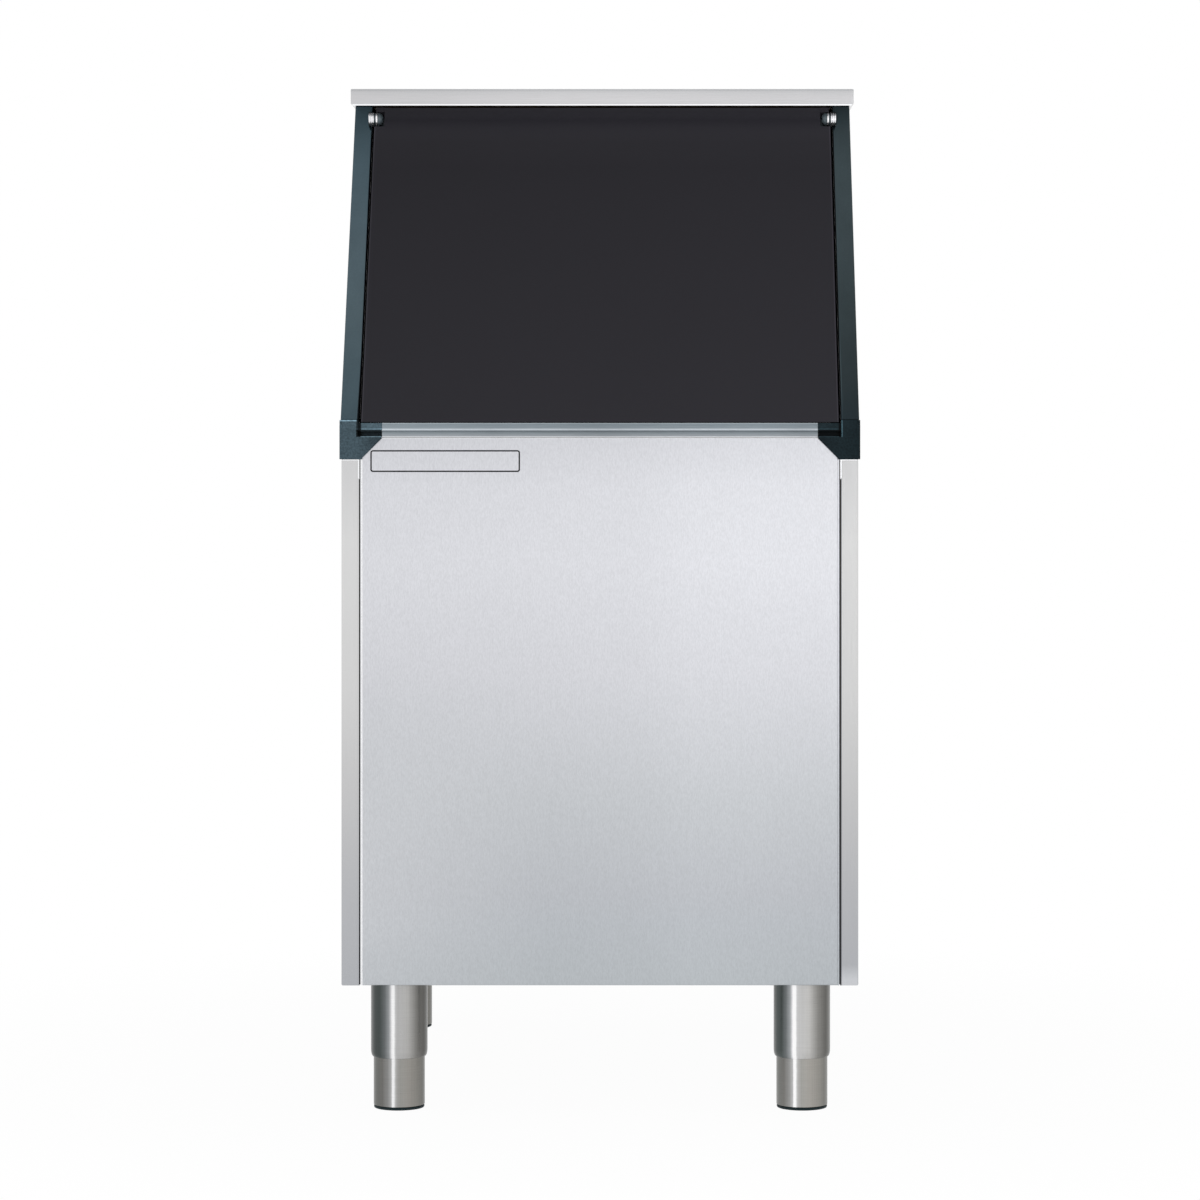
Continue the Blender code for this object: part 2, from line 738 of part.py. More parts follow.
def make_bracket(word, side):
    """A corner moulding: a foot over the panel, a block under the post, a hollow sill end and a side lip."""
    name = word + "_corner_bracket"
    face_y = front_y - bracket_proud
    block = [
        (face_y, bracket_bottom_z),
        (face_y, slope_z(face_y, 0)),
        (slope_y(seam_height, 0), seam_height),
        (slope_y(seam_height, post_back_p), seam_height),
        (slope_y(bracket_bottom_z, post_back_p), bracket_bottom_z),
    ]
    bracket = add(name, side_prism(name, block, post_inner, bracket_outer, side), trim_plastic)
    outer_x = side * bracket_outer

    def on_front_corner(co):
        return abs(co.x - outer_x) < clearance and co.y < front_y

    round_edges(bracket, on_front_corner, bracket_edge_radius / 2)
    into_block = post_inner + bracket_edge_radius
    foot = [
        (side * into_block, bracket_ledge_z),
        (side * bracket_inner, bracket_ledge_z),
        (side * bracket_inner, bracket_bottom_z + bracket_chamfer),
        (side * (bracket_inner + bracket_chamfer), bracket_bottom_z),
        (side * into_block, bracket_bottom_z),
    ]
    foot_mesh = prism(name + "_foot", foot, face_y, front_y - clearance, "Y")
    boolean(bracket, helper(name + "_foot", foot_mesh), "UNION")
    ledge_y = (face_y + (front_y - clearance - face_y) / 2, front_y + bracket_pocket_setback + sheet)
    ledge_height = (panel_top_z + clearance, bracket_ledge_z)
    ledge = side_box(name + "_ledge", bracket_inner, into_block, side, ledge_y, ledge_height)
    boolean(bracket, helper(name + "_ledge", ledge), "UNION")
    sill_end = sill_outline(bracket_pocket_setback, post_back_p - clearance)
    sill_mesh = side_prism(name + "_sill", sill_end, bracket_inner, into_block, side)
    boolean(bracket, helper(name + "_sill", sill_mesh), "UNION")
    lip_y = (face_y + bracket_edge_radius, face_y + bracket_lip_length)
    lip_z = (bracket_bottom_z, seam_height)
    lip = side_box(name + "_lip", half_width + clearance, bracket_outer, side, lip_y, lip_z)
    boolean(bracket, helper(name + "_lip", lip), "UNION")


def make_hinge_fixings(word, side):
    """What stays on the post: the ribbed barrel nut, the washer and the domed pin."""
    place = (0, axis_y, axis_z)
    bore = pin_radius + clearance
    rib = barrel_length / 6
    edge = barrel_radius - barrel_groove
    barrel = [(bore, barrel_end), (edge, barrel_end)]
    for i in range(5, 0, -1):
        radius = barrel_radius if i % 2 else edge
        barrel.append((radius, barrel_start + i * rib))
    barrel += [(edge, barrel_start), (bore, barrel_start)]
    turned(word + "_hinge_barrel", barrel, place, chrome, small_steps, True, side)
    washer = ring(bore, washer_radius, washer_start, washer_end)
    turned(word + "_hinge_washer", washer, place, chrome, small_steps, True, side)
    dome = arc((0, 0), 1, 0, 90, 4)
    head = [(dome_radius * u, dome_end - dome_height * v) for u, v in dome[:-1]] + [(0, dome_start)]
    pin = [(0, pin_end), (pin_radius, pin_end), (pin_radius, dome_end)] + head
    turned(word + "_hinge_pin", pin, place, dark_steel, small_steps, False, side)


def make_door():
    """A leaning tray, its core, inner skin, gasket and hinge plates, all on the hinge axis."""
    pivot = pivot_at("door_pivot", (0, axis_y, axis_z))

    def section(front_p, back_p, low_z, top_s):
        low = [(slope_y(low_z, front_p), low_z), on_slope(top_s, front_p)]
        return low + [on_slope(top_s, back_p), (slope_y(low_z, back_p), low_z)]

    skin_p = door_recess + door_skin
    outline = [
        (slope_y(door_bottom_z, door_recess), door_bottom_z),
        on_slope(door_top_s, door_recess),
        on_slope(door_top_s, skin_p),
        on_slope(core_top_s, skin_p),
        on_slope(core_top_s, tray_back_p),
        (slope_y(door_bottom_z, tray_back_p), door_bottom_z),
    ]
    panel = add("door_panel", prism("door_panel", outline, -door_half, door_half), door_plastic)
    round_edges(panel, lambda co: abs(co.y - slope_y(co.z, door_recess)) < clearance, door_edge_radius)
    low_z = door_bottom_z + door_skin
    far_p = door_back_p + overrun
    wide = section(skin_p, far_p, low_z, notch_s - door_skin)
    wide_half = door_half - door_skin
    boolean(panel, helper("door_pocket", prism("door_pocket", wide, -wide_half, wide_half)))
    narrow = section(skin_p, far_p, low_z, core_top_s - door_skin)
    narrow_half = notch_inner - door_skin
    boolean(panel, helper("door_pocket_top", prism("door_pocket_top", narrow, -narrow_half, narrow_half)))
    for word, side in sides.items():
        front = section(door_recess - overrun, far_p, door_bottom_z, door_top_s + overrun)
        front[0] = on_slope(notch_s, door_recess - overrun)
        front[3] = on_slope(notch_s, far_p)
        notch = side_prism(word + "_door_notch", front, notch_inner, door_half + overrun, side)
        boolean(panel, helper(word + "_door_notch", notch))
    hold(panel, pivot)

    core_p = skin_p + clearance
    core_z = low_z + clearance
    wide = section(core_p, tray_back_p, core_z, notch_s - door_skin - clearance)
    wide_half -= clearance
    core = add("door_core", prism("door_core", wide, -wide_half, wide_half), foam)
    narrow = section(core_p, tray_back_p, core_z, core_top_s - door_skin - clearance)
    narrow_half -= clearance
    top = prism("door_core_top", narrow, -narrow_half, narrow_half)
    boolean(core, helper("door_core_top", top), "UNION")
    hold(core, pivot)

    skin_front_p = tray_back_p + clearance
    inner = section(skin_front_p, door_back_p, door_bottom_z, core_top_s)
    skin = add("door_inner_skin", prism("door_inner_skin", inner, -door_half, door_half), door_plastic)
    hold(skin, pivot)

    opening_low_s = (sill_lip_z - seam_height + flange_front_p * sin(slope)) / cos(slope)
    opening_high_s = (opening_top_z - seam_height + flange_front_p * sin(slope)) / cos(slope)
    inner_low = (-opening_half - gasket_inset, door_back_p + clearance, opening_low_s - gasket_inset)
    inner_high = (opening_half + gasket_inset, post_back_p, opening_high_s + gasket_inset)
    outer_low = (inner_low[0] - gasket_width, inner_low[1], inner_low[2] - gasket_width)
    outer_high = (inner_high[0] + gasket_width, inner_high[1], inner_high[2] + gasket_width)
    seal = add("door_gasket", box("door_gasket", outer_low, outer_high), rubber)
    seal.data.transform(slope_matrix())
    hole_low = (inner_low[0], inner_low[1] - overrun, inner_low[2])
    hole_high = (inner_high[0], inner_high[1] + overrun, inner_high[2])
    hole = box("gasket_hole", hole_low, hole_high)
    hole.transform(slope_matrix())
    boolean(seal, helper("gasket_hole", hole))
    hold(seal, pivot)

    for word, side in sides.items():
        make_hinge_plate(word, side, pivot)


def make_hinge_plate(word, side, pivot):
    """An ear on the pin and a foot that lies on the door's inner skin."""
    name = word + "_hinge_plate"
    foot_p = tray_back_p - ear_thickness
    nose = arc((0, 0), ear_radius, 90, 270, 8)
    outline = [on_slope(axis_s + v, hinge_depth + u) for u, v in nose]
    outline += [on_slope(axis_s - ear_radius, tray_back_p), on_slope(axis_s + ear_radius, tray_back_p)]
    plate = add(name, side_prism(name, outline, ear_start, ear_end, side), dark_steel)
    foot = [
        on_slope(axis_s - ear_radius, foot_p),
        on_slope(axis_s + ear_radius, foot_p),
        on_slope(axis_s + ear_radius, tray_back_p),
        on_slope(axis_s - ear_radius, tray_back_p),
    ]
    foot_mesh = side_prism(name + "_foot", foot, notch_inner + clearance, ear_end, side)
    boolean(plate, helper(name + "_foot", foot_mesh), "UNION")
    bore = disc(pin_radius + clearance, ear_start - overrun / 4, ear_end + overrun / 4)
    boolean(plate, turned(name + "_bore", bore, (0, axis_y, axis_z), None, small_steps, toward=side))
    hold(plate, pivot)


def make_leg(word, x, y):
    """A mounting plate with stud and rod, a nut, the upper tube, and a foot that screws up and down."""
    place = (x, y, 0)
    stud_top = leg_top_z + stud_length
    seat_z = base_top_z - sheet - clearance
    stem = [
        (0, stud_top),
        (stud_radius, stud_top),
        (stud_radius, seat_z),
        (stud_radius + seat_width, seat_z),
        (stud_radius + seat_width, leg_top_z),
        (leg_radius, leg_top_z),
        (leg_radius, leg_plate_z),
        (rod_radius, leg_plate_z),
        (rod_radius, rod_end_height),
        (0, rod_end_height),
    ]
    turned(word + "_leg_stem", stem, place, zinc, small_steps)

    nut_low = base_top_z + clearance
    hexagon = arc((x, y), nut_corner, 0, 300, 5)
    nut = prism(word + "_leg_nut", hexagon, nut_low, nut_low + nut_height, "Z")
    nut_object = add(word + "_leg_nut", nut, zinc)
    bore = disc(stud_radius + clearance, nut_low - overrun, nut_low + nut_height + overrun)
    boolean(nut_object, turned(word + "_leg_nut_bore", bore, place, None, small_steps))

    inner = leg_radius - leg_wall
    mouth = foot_radius + clearance
    end_z = leg_shoulder_height - leg_shoulder_drop
    across = leg_radius - mouth - leg_wall / 3
    tube = [(inner, leg_plate_z - clearance), (leg_radius, leg_plate_z - clearance)]
    for u, v in arc((0, 0), 1, 0, -90, 4):
        tube.append((leg_radius + across * (u - 1), leg_shoulder_height + leg_shoulder_drop * v))
    tube += [(mouth, end_z), (mouth, end_z + leg_wall), (inner, leg_shoulder_height + leg_wall)]
    turned(word + "_leg_tube", tube, place, satin_tube, closed=True)

    pivot = pivot_at(word + "_foot_pivot", place)
    foot_inner = foot_radius - leg_wall
    edge = leg_wall / 2
    cap_bore = rod_radius + clearance
    cap_low = foot_top_z - foot_cap_thickness
    foot = [
        (0, foot_bottom_z + leg_wall),
        (foot_inner, foot_bottom_z + leg_wall),
        (foot_inner, cap_low),
        (cap_bore, cap_low),
        (cap_bore, foot_top_z),
        (foot_radius - edge, foot_top_z),
        (foot_radius, foot_top_z - edge),
        (foot_radius, foot_bottom_z + edge),
        (foot_radius - edge, foot_bottom_z),
        (0, foot_bottom_z),
    ]
    turned(word + "_foot_tube", foot, (0, 0, 0), satin_tube, parent=pivot)
    rim = foot_pad_thickness / 2
    foot_pad_radius = foot_radius - foot_pad_margin
    pad = [
        (0, foot_pad_thickness),
        (foot_pad_radius - rim / 2, foot_pad_thickness),
        (foot_pad_radius, rim),
        (foot_pad_radius - rim, 0),
        (0, 0),
    ]
    turned(word + "_foot_pad", pad, (0, 0, 0), rubber, parent=pivot)


def make_drain():
    """A flanged drain through the tank's floor, with its strainer, washer and nut."""
    place = (0, drain_y, 0)
    flange_low = cavity_floor_z + clearance
    flange_high = flange_low + drain_flange_thickness
    drain_flange_radius = drain_radius + drain_flange_lip
    body = [
        (drain_bore_radius, flange_high),
        (drain_flange_radius, flange_high),
        (drain_flange_radius, flange_low),
        (drain_radius, flange_low),
        (drain_radius, drain_end_height),
        (drain_bore_radius, drain_end_height),
    ]
    turned("drain_body", body, place, drain_plastic, small_steps, True)
    strainer_z = flange_high + clearance
    profile = disc(drain_bore_radius + strainer_lip, strainer_z, strainer_z + strainer_thickness)
    strainer = turned("drain_strainer", profile, place, stainless, small_steps)
    hole = disc(strainer_hole_radius, strainer_z - overrun, strainer_z + overrun)
    for i in range(strainer_holes):
        turn = 2 * pi * i / strainer_holes
        spot = (strainer_hole_circle * cos(turn), drain_y + strainer_hole_circle * sin(turn), 0)
        boolean(strainer, turned("strainer_hole", hole, spot, None, small_steps // 2))
    washer_high = body_base_height + sheet
    washer_low = washer_high - drain_washer_thickness
    bore = drain_radius + clearance
    washer = ring(bore, drain_radius + drain_washer_lip, washer_low, washer_high)
    turned("drain_washer", washer, place, rubber, small_steps, True)
    nut_high = washer_low - clearance
    nut_low = nut_high - drain_nut_height
    hexagon = arc((0, drain_y), (drain_radius + drain_nut_lip) / cos(pi / 6), 0, 300, 5)
    nut = add("drain_nut", prism("drain_nut", hexagon, nut_low, nut_high, "Z"), drain_plastic)
    nut_bore = disc(bore, nut_low - overrun, nut_high + overrun)
    boolean(nut, turned("drain_nut_bore", nut_bore, place, None, small_steps))


def make_badge():
    """A blank plate on the front panel, its corner just clear of the left bracket's chamfer."""
    left = -panel_half + badge_left_inset
    top = bracket_bottom_z + bracket_chamfer + left + bracket_inner - badge_gap
    right = left + badge_width
    bottom = top - badge_height
    r = badge_corner_radius
    corners = (
        ((right - r, top - r), 90, 0),
        ((right - r, bottom + r), 0, -90),
        ((left + r, bottom + r), -90, -180),
        ((left + r, top - r), 180, 90),
    )
    outline = [point for centre, start, end in corners for point in arc(centre, r, start, end, 4)]
    plate = prism("badge_plate", outline, front_y - clearance - badge_thickness, front_y - clearance, "Y")
    add("badge_plate", plate, stainless)


make_front_panel()
make_back_and_base()
make_tank()
make_insulation()
make_top()
make_sill()
for word, side in sides.items():
    make_side_panel(word, side)
    make_post(word, side)
    make_bracket(word, side)
    make_hinge_fixings(word, side)
make_door()
for word, (x, y) in leg_places.items():
    make_leg(word, x, y)
make_drain()
make_badge()
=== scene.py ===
"""Looks of the ice storage bin: its finishes and detail pieces, the floor, the lamps and the camera.

Lengths are metres in the model's own frame: the origin is on the floor under the middle of the bin, X runs
to the right, Y to the back and Z up. Detail pieces take their places from the boxes of the nodes they belong
to, or from the slope, whose points are given by s, up it from the hinge axis, and p, into the cabinet.
"""

import json
from math import atan2, cos, pi, radians, sin

import bmesh
import bpy
from mathutils import Matrix, Vector


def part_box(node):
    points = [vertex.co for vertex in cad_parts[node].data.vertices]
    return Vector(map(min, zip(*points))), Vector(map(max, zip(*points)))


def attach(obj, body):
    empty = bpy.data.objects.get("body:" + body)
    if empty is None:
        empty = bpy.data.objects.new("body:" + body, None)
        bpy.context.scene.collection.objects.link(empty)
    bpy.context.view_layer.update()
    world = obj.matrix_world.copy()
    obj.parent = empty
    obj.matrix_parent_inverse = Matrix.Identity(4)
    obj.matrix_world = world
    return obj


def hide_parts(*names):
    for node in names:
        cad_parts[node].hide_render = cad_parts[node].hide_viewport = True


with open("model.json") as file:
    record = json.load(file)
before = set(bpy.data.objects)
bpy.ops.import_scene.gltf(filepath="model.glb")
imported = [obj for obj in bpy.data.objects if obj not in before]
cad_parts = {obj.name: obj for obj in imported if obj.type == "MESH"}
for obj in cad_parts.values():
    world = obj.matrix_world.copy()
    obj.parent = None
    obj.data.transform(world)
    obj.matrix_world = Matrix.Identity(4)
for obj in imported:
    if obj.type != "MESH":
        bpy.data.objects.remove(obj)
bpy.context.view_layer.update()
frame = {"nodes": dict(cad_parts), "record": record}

# Camera: a long lens straight at the front, with its frame shifted
camera_place = (0.0576, -4.4055, 0.688)
camera_lens = 110.79
camera_sensor = 36
camera_shift = (-0.0442, -0.1)

# Floor: its size, its paint, how much of its shading shows, and from where to where that fades out
floor_size = 40
floor_white = 0.80
floor_shadow_share = 0.035
floor_shadow_fade = (0.5, 1.2)

# Lamps: place, width, height and power in watts, all aimed at one point, and those that metal doesn't mirror
world_fill = 0.60
lamp_aim = (0, 0, 0.6)
lamps = {
    "left": ((-1.7, -2.9, 1.5), 0.8, 2.0, 14),
    "right": ((1.35, -3.3, 0.8), 1.2, 0.9, 6.5),
    "top": ((0, -0.6, 3.2), 2.4, 2.4, 14),
    "back": ((0.6, 3.2, 2.2), 2.0, 2.0, 18),
}
hidden_in_metal = ("left", "top")

# Steps of round pieces, the share of a side that a fillet may take, the angle that counts as a sharp edge,
# and the gap that touching pieces keep
turn_steps = 96
small_turn_steps = 64
corner_steps = 4
fillet_share = 0.45
sharp_angle = 32
seat_gap = 0.0003

# The middle of a noise's values, which the patterns stretch over their tones
noise_middle = (0.3, 0.7)

# The slope: its rise and run, and its depths from the posts' face
slope_rise = 0.361
slope_run = 0.2025
slope = atan2(slope_run, slope_rise)
hinge_depth = 0.003
door_back_depth = 0.0155
flange_face_depth = 0.0197

sides = {"left": -1, "right": 1}


def srgb(red, green, blue):
    """The linear colour of a display colour given as 0 to 255."""
    shares = [value / 255 for value in (red, green, blue)]
    return tuple(v / 12.92 if v <= 0.04045 else ((v + 0.055) / 1.055) ** 2.4 for v in shares)


# Colours by height, which paint light and shade: how light falls down each surface, painted highlights and
# painted shade
panel_painted_light_by_height = {
    0.14: srgb(182, 187, 191),
    0.21: srgb(186, 190, 195),
    0.24: srgb(188, 191, 196),
    0.34: srgb(197, 200, 204),
    0.48: srgb(212, 213, 218),
    0.60: srgb(219, 220, 225),
    0.68: srgb(217, 218, 223),
    0.74: srgb(208, 209, 214),
}
# The side strips painted lighter near mid height and darker towards the bottom, as the light falls
strip_painted_light_by_height = {
    0.14: srgb(176, 178, 182),
    0.24: srgb(183, 184, 187),
    0.34: srgb(196, 196, 197),
    0.46: srgb(210, 210, 210),
    0.62: srgb(216, 216, 216),
    0.70: srgb(208, 208, 209),
    1.13: srgb(204, 204, 204),
}
# The sill's bands of painted light and shade: painted highlights at its foot and along its nose, painted
# shade under the nose
sill_painted_light_by_height = {
    0.7340: srgb(250, 251, 253),
    0.7347: srgb(246, 248, 250),
    0.7351: srgb(146, 150, 155),
    0.7390: srgb(122, 130, 135),
    0.7410: srgb(114, 122, 127),
    0.7415: srgb(96, 102, 107),
    0.7421: srgb(182, 189, 195),
    0.7434: srgb(178, 185, 191),
    0.7440: srgb(128, 137, 143),
    0.7488: srgb(120, 130, 136),
    0.7498: srgb(166, 175, 181),
}
# The top frame painted darker towards its upper edge, as the light falls, and lighter again at the very top
slab_painted_light_by_height = {
    1.1140: srgb(208, 208, 210),
    1.1220: srgb(206, 205, 207),
    1.1262: srgb(202, 202, 204),
    1.1280: srgb(198, 198, 200),
    1.1292: srgb(186, 187, 189),
    1.1308: srgb(184, 185, 187),
    1.13095: srgb(200, 200, 202),
}
# The door painted lighter towards its top: painted light that makes up for the shadow under the top frame
door_painted_light_by_height = {
    0.750: srgb(45, 44, 49),
    1.040: srgb(38, 37, 42),
    1.070: srgb(41, 40, 45),
    1.097: srgb(50, 49, 55),
    1.112: srgb(70, 69, 75),
}
# The left post painted lighter than the right one, as lit from the left, with painted light and shade by
# height
post_left_painted_light_by_height = {
    0.753: srgb(68, 85, 93),
    0.80: srgb(74, 91, 99),
    0.87: srgb(81, 97, 104),
    0.95: srgb(79, 95, 103),
    1.04: srgb(73, 91, 100),
    1.0875: srgb(60, 77, 85),
    1.112: srgb(66, 84, 92),
}
post_right_painted_light_by_height = {
    0.753: srgb(36, 46, 51),
    0.80: srgb(43, 52, 55),
    0.87: srgb(51, 61, 64),
    0.95: srgb(59, 70, 74),
    1.04: srgb(61, 73, 77),
    1.0875: srgb(52, 63, 67),
    1.112: srgb(54, 66, 70),
}

# Tones across the bin, by X: painted light and shade, lighter or darker where more or less light falls
panel_painted_light_tones = {
    0.04: 1.0,
    0.10: 1.03,
    0.17: 1.015,
    0.24: 0.975,
}
strip_painted_light_tones = {
    0.0: 1.0,
    0.26: 0.975,
}
sill_painted_light_tones = {
    -0.236: 1.33,
    -0.16: 1.28,
    -0.12: 1.17,
    -0.08: 1.20,
    0.0: 1.06,
    0.06: 1.12,
    0.14: 1.16,
    0.18: 1.14,
    0.22: 1.0,
}
slab_painted_light_tones = {
    -0.285: 0.95,
    -0.2: 0.96,
    -0.05: 1.03,
    0.05: 1.03,
    0.2: 0.98,
}

# How much of the painted light in the front panel's lower left corner shows, by height
painted_glow_height_shares = {
    0.14: 0.40,
    0.17: 0.50,
    0.21: 0.69,
    0.28: 0.75,
    0.36: 0.72,
    0.44: 0.40,
    0.50: 0.0,
}

# Single colours
# Painted highlight along the front panel's left and top edges, and painted light in its lower left corner
painted_panel_highlight_colour = srgb(250, 250, 252)
painted_panel_glow_colour = srgb(206, 208, 212)
# Painted light low on the right side strip, and painted shade along the strips' inner edges beside the gaps
painted_strip_glow_colour = srgb(204, 206, 210)
painted_strip_shade_colour = srgb(34, 36, 40)
# Near white for painted highlights: the hem, the tongues, the left panel bend and the line under each bracket
painted_highlight_colour = srgb(246, 247, 249)
galvanised_colour = srgb(176, 180, 184)
zinc_colour = srgb(170, 172, 174)
nickel_colour = srgb(250, 250, 252)
dark_steel_colour = srgb(92, 104, 110)
# The left bracket painted lit and the right one painted in shade, as the light falls from the left
painted_lit_bracket_colour = srgb(74, 91, 100)
painted_shaded_bracket_colour = srgb(18, 29, 33)
liner_colour = srgb(222, 225, 225)
foam_colour = srgb(226, 211, 170)
rubber_colour = srgb(24, 25, 27)
# Dark and black for the strips that stand in for the shade in the gaps
painted_gap_shade_colour = srgb(30, 31, 34)
painted_gap_shadow_colour = srgb(7, 7, 8)
foot_rubber_colour = srgb(24, 40, 44)
drain_colour = srgb(196, 199, 199)
border_colour = srgb(20, 20, 23)

# Painted light and shade of a corner bracket in its pocket beside the sill, by height: painted shade in the
# recess and painted highlights along its edges
pocket_painted_light_by_height = {
    0.7344: 2.4,
    0.7352: 2.4,
    0.7356: 0.50,
    0.7400: 0.40,
    0.7404: 0.20,
    0.7422: 0.20,
    0.7426: 3.6,
    0.7438: 3.6,
    0.7443: 1.7,
    0.7498: 1.5,
}

# Painted reflections round a leg tube, as bands of painted shade and a painted highlight, by the angle in
# degrees from the front, towards the right, and how many degrees they are shifted to the left per metre that
# a leg stands to the right
painted_reflection_shift = 20
upper_tube_painted_reflections = {
    -180: srgb(140, 141, 140),
    -130: srgb(178, 178, 177),
    -92: srgb(112, 113, 112),
    -60: srgb(70, 76, 75),
    -44: srgb(76, 82, 81),
    -32: srgb(104, 108, 109),
    -22: srgb(150, 153, 155),
    -19.5: srgb(190, 191, 193),
    -17.5: srgb(212, 212, 214),
    -15.5: srgb(250, 250, 251),
    -11: srgb(252, 252, 252),
    -9: srgb(206, 206, 207),
    -6: srgb(184, 184, 184),
    18: srgb(172, 171, 169),
    37: srgb(128, 127, 124),
    60: srgb(90, 89, 86),
    80: srgb(108, 108, 106),
    125: srgb(176, 176, 175),
    180: srgb(140, 141, 140),
}
lower_tube_painted_reflections = {
    -180: srgb(132, 131, 128),
    -130: srgb(168, 167, 164),
    -90: srgb(122, 121, 118),
    -64: srgb(108, 109, 106),
    -42: srgb(116, 115, 112),
    -28: srgb(140, 140, 139),
    -19: srgb(174, 174, 174),
    -16.5: srgb(248, 248, 249),
    -12.5: srgb(248, 248, 249),
    -9: srgb(184, 184, 183),
    -5: srgb(164, 163, 161),
    2: srgb(152, 151, 147),
    22: srgb(150, 147, 142),
    44: srgb(138, 136, 131),
    62: srgb(114, 113, 109),
    90: srgb(108, 107, 104),
    130: srgb(166, 165, 162),
    180: srgb(132, 131, 128),
}


class Finish:
    """A material under construction, with short calls for the nodes it uses."""

    # Places of a mix node's two colour inputs and of its colour output
    mix_inputs = (6, 7)
    mix_output = 2

    def __init__(self, name):
        self.material = bpy.data.materials.new(name)
        self.material.use_nodes = True
        self.tree = self.material.node_tree
        self.shader = self.tree.nodes["Principled BSDF"]
        coordinates = self.tree.nodes.new("ShaderNodeTexCoord")
        self.place = coordinates.outputs["Object"]
        self.own_box = coordinates.outputs["Generated"]
        self.axes = self.node("ShaderNodeSeparateXYZ", {"Vector": self.place}).outputs

    def node(self, kind, inputs, **settings):
        """A node with its settings and its inputs, which are values or other nodes' sockets."""
        made = self.tree.nodes.new(kind)
        for name, value in settings.items():
            setattr(made, name, value)
        for name, value in inputs.items():
            if isinstance(value, bpy.types.NodeSocket):
                self.tree.links.new(value, made.inputs[name])
            else:
                made.inputs[name].default_value = value
        return made

    def math(self, operation, first, second=0.0):
        """One value from one or two others."""
        return self.node("ShaderNodeMath", {0: first, 1: second}, operation=operation).outputs[0]

    def noise(self, sizes, detail=2.0):
        """Noise whose blobs have the given sizes along X, Y and Z."""
        scale = [1 / size for size in sizes]
        moved = self.node("ShaderNodeMapping", {"Vector": self.place, "Scale": scale})
        made = self.node("ShaderNodeTexNoise", {"Vector": moved.outputs[0], "Scale": 1.0, "Detail": detail})
        return made.outputs["Fac"]

    def clouds(self, size, detail=2.0):
        """Noise whose blobs have one size."""
        return self.noise((size, size, size), detail)

    def around(self, noise, middle, reach):
        """Tones that swing about a middle one by a reach to either side."""
        return self.spread(noise, middle - reach, middle + reach, *noise_middle)

    def spread(self, value, low, high, source_low=0.0, source_high=1.0):
        """A value carried from one range to another."""
        inputs = {"Value": value, "From Min": source_low, "From Max": source_high}
        inputs.update({"To Min": low, "To Max": high})
        return self.node("ShaderNodeMapRange", inputs).outputs[0]

    def ramp(self, value, stops):
        """Colours or tones by value, with straight steps between the stops."""
        low = min(stops)
        high = max(stops)
        made = self.node("ShaderNodeValToRGB", {"Fac": self.spread(value, 0.0, 1.0, low, high)})
        band = made.color_ramp
        places = sorted(stops)
        while len(band.elements) < len(places):
            band.elements.new(1.0)
        for element, place in zip(band.elements, places):
            element.position = (place - low) / (high - low)
        for element, place in zip(band.elements, places):
            colour = stops[place]
            element.color = (*colour, 1.0) if isinstance(colour, tuple) else (colour, colour, colour, 1.0)
        return made.outputs["Color"]

    def mixed(self, share, first, second):
        """Two colours mixed by a share."""
        made = self.node("ShaderNodeMix", {"Factor": share}, data_type="RGBA")
        for index, value in zip(self.mix_inputs, (first, second)):
            if isinstance(value, bpy.types.NodeSocket):
                self.tree.links.new(value, made.inputs[index])
            else:
                made.inputs[index].default_value = (*value, 1.0)
        return made.outputs[self.mix_output]

    def colour(self, base, factor):
        """Sets the base colour, scaled by a factor that varies over the surface."""
        scaled = self.node("ShaderNodeVectorMath", {"Vector": base, "Scale": factor}, operation="SCALE")
        self.tree.links.new(scaled.outputs[0], self.shader.inputs["Base Color"])

    def bump(self, height, distance, strength=0.5):
        """Sets a fine relief."""
        made = self.node("ShaderNodeBump", {"Height": height, "Distance": distance, "Strength": strength})
        self.tree.links.new(made.outputs[0], self.shader.inputs["Normal"])

    def gloss(self, roughness, variation=None, spread=0.05, metallic=0.0, specular=0.5):
        """Sets the reflection: roughness, with a variation of some spread, metal or not, and its level."""
        if variation is None:
            self.shader.inputs["Roughness"].default_value = roughness
        else:
            varied = self.spread(variation, roughness - spread, roughness + spread)
            self.tree.links.new(varied, self.shader.inputs["Roughness"])
        self.shader.inputs["Metallic"].default_value = metallic
        self.shader.inputs["Specular IOR Level"].default_value = specular


def along(axis, length, width):
    """Sizes of a streak that runs along one axis."""
    return tuple(length if letter == axis else width for letter in "XYZ")


def brush(made, base, axis, roughness, streak=(0.0045, 0.0013), contrast=0.034, tones=None):
    """Brushed metal: soft streaks, fine scratches along the grain, faint cloudiness, and tones by X that
    paint light and shade.
    """
    scratch = (0.060, 0.0005)
    scratch_contrast = 0.02
    scratch_depth = 0.00003
    cloud_size = 0.16
    cloud_contrast = 0.01
    soft = made.noise(along(axis, *streak), 3.0)
    fine = made.noise(along(axis, *scratch))
    cloud = made.clouds(cloud_size, 1.0)
    shade = made.math("ADD", made.around(soft, 1, contrast), made.around(fine, 0, scratch_contrast))
    shade = made.math("ADD", shade, made.spread(cloud, -cloud_contrast, cloud_contrast))
    if tones:
        shade = made.math("MULTIPLY", shade, made.ramp(made.axes["X"], tones))
    made.colour(base, shade)
    made.gloss(roughness, fine, metallic=1.0)
    made.bump(fine, scratch_depth)
    return made.material


def brushed_metal(name, base, axis, roughness, **grain):
    """Brushed metal of one colour, or of colours by height that paint light and shade."""
    made = Finish(name)
    if isinstance(base, dict):
        base = made.ramp(made.axes["Z"], base)
    return brush(made, base, axis, roughness, **grain)


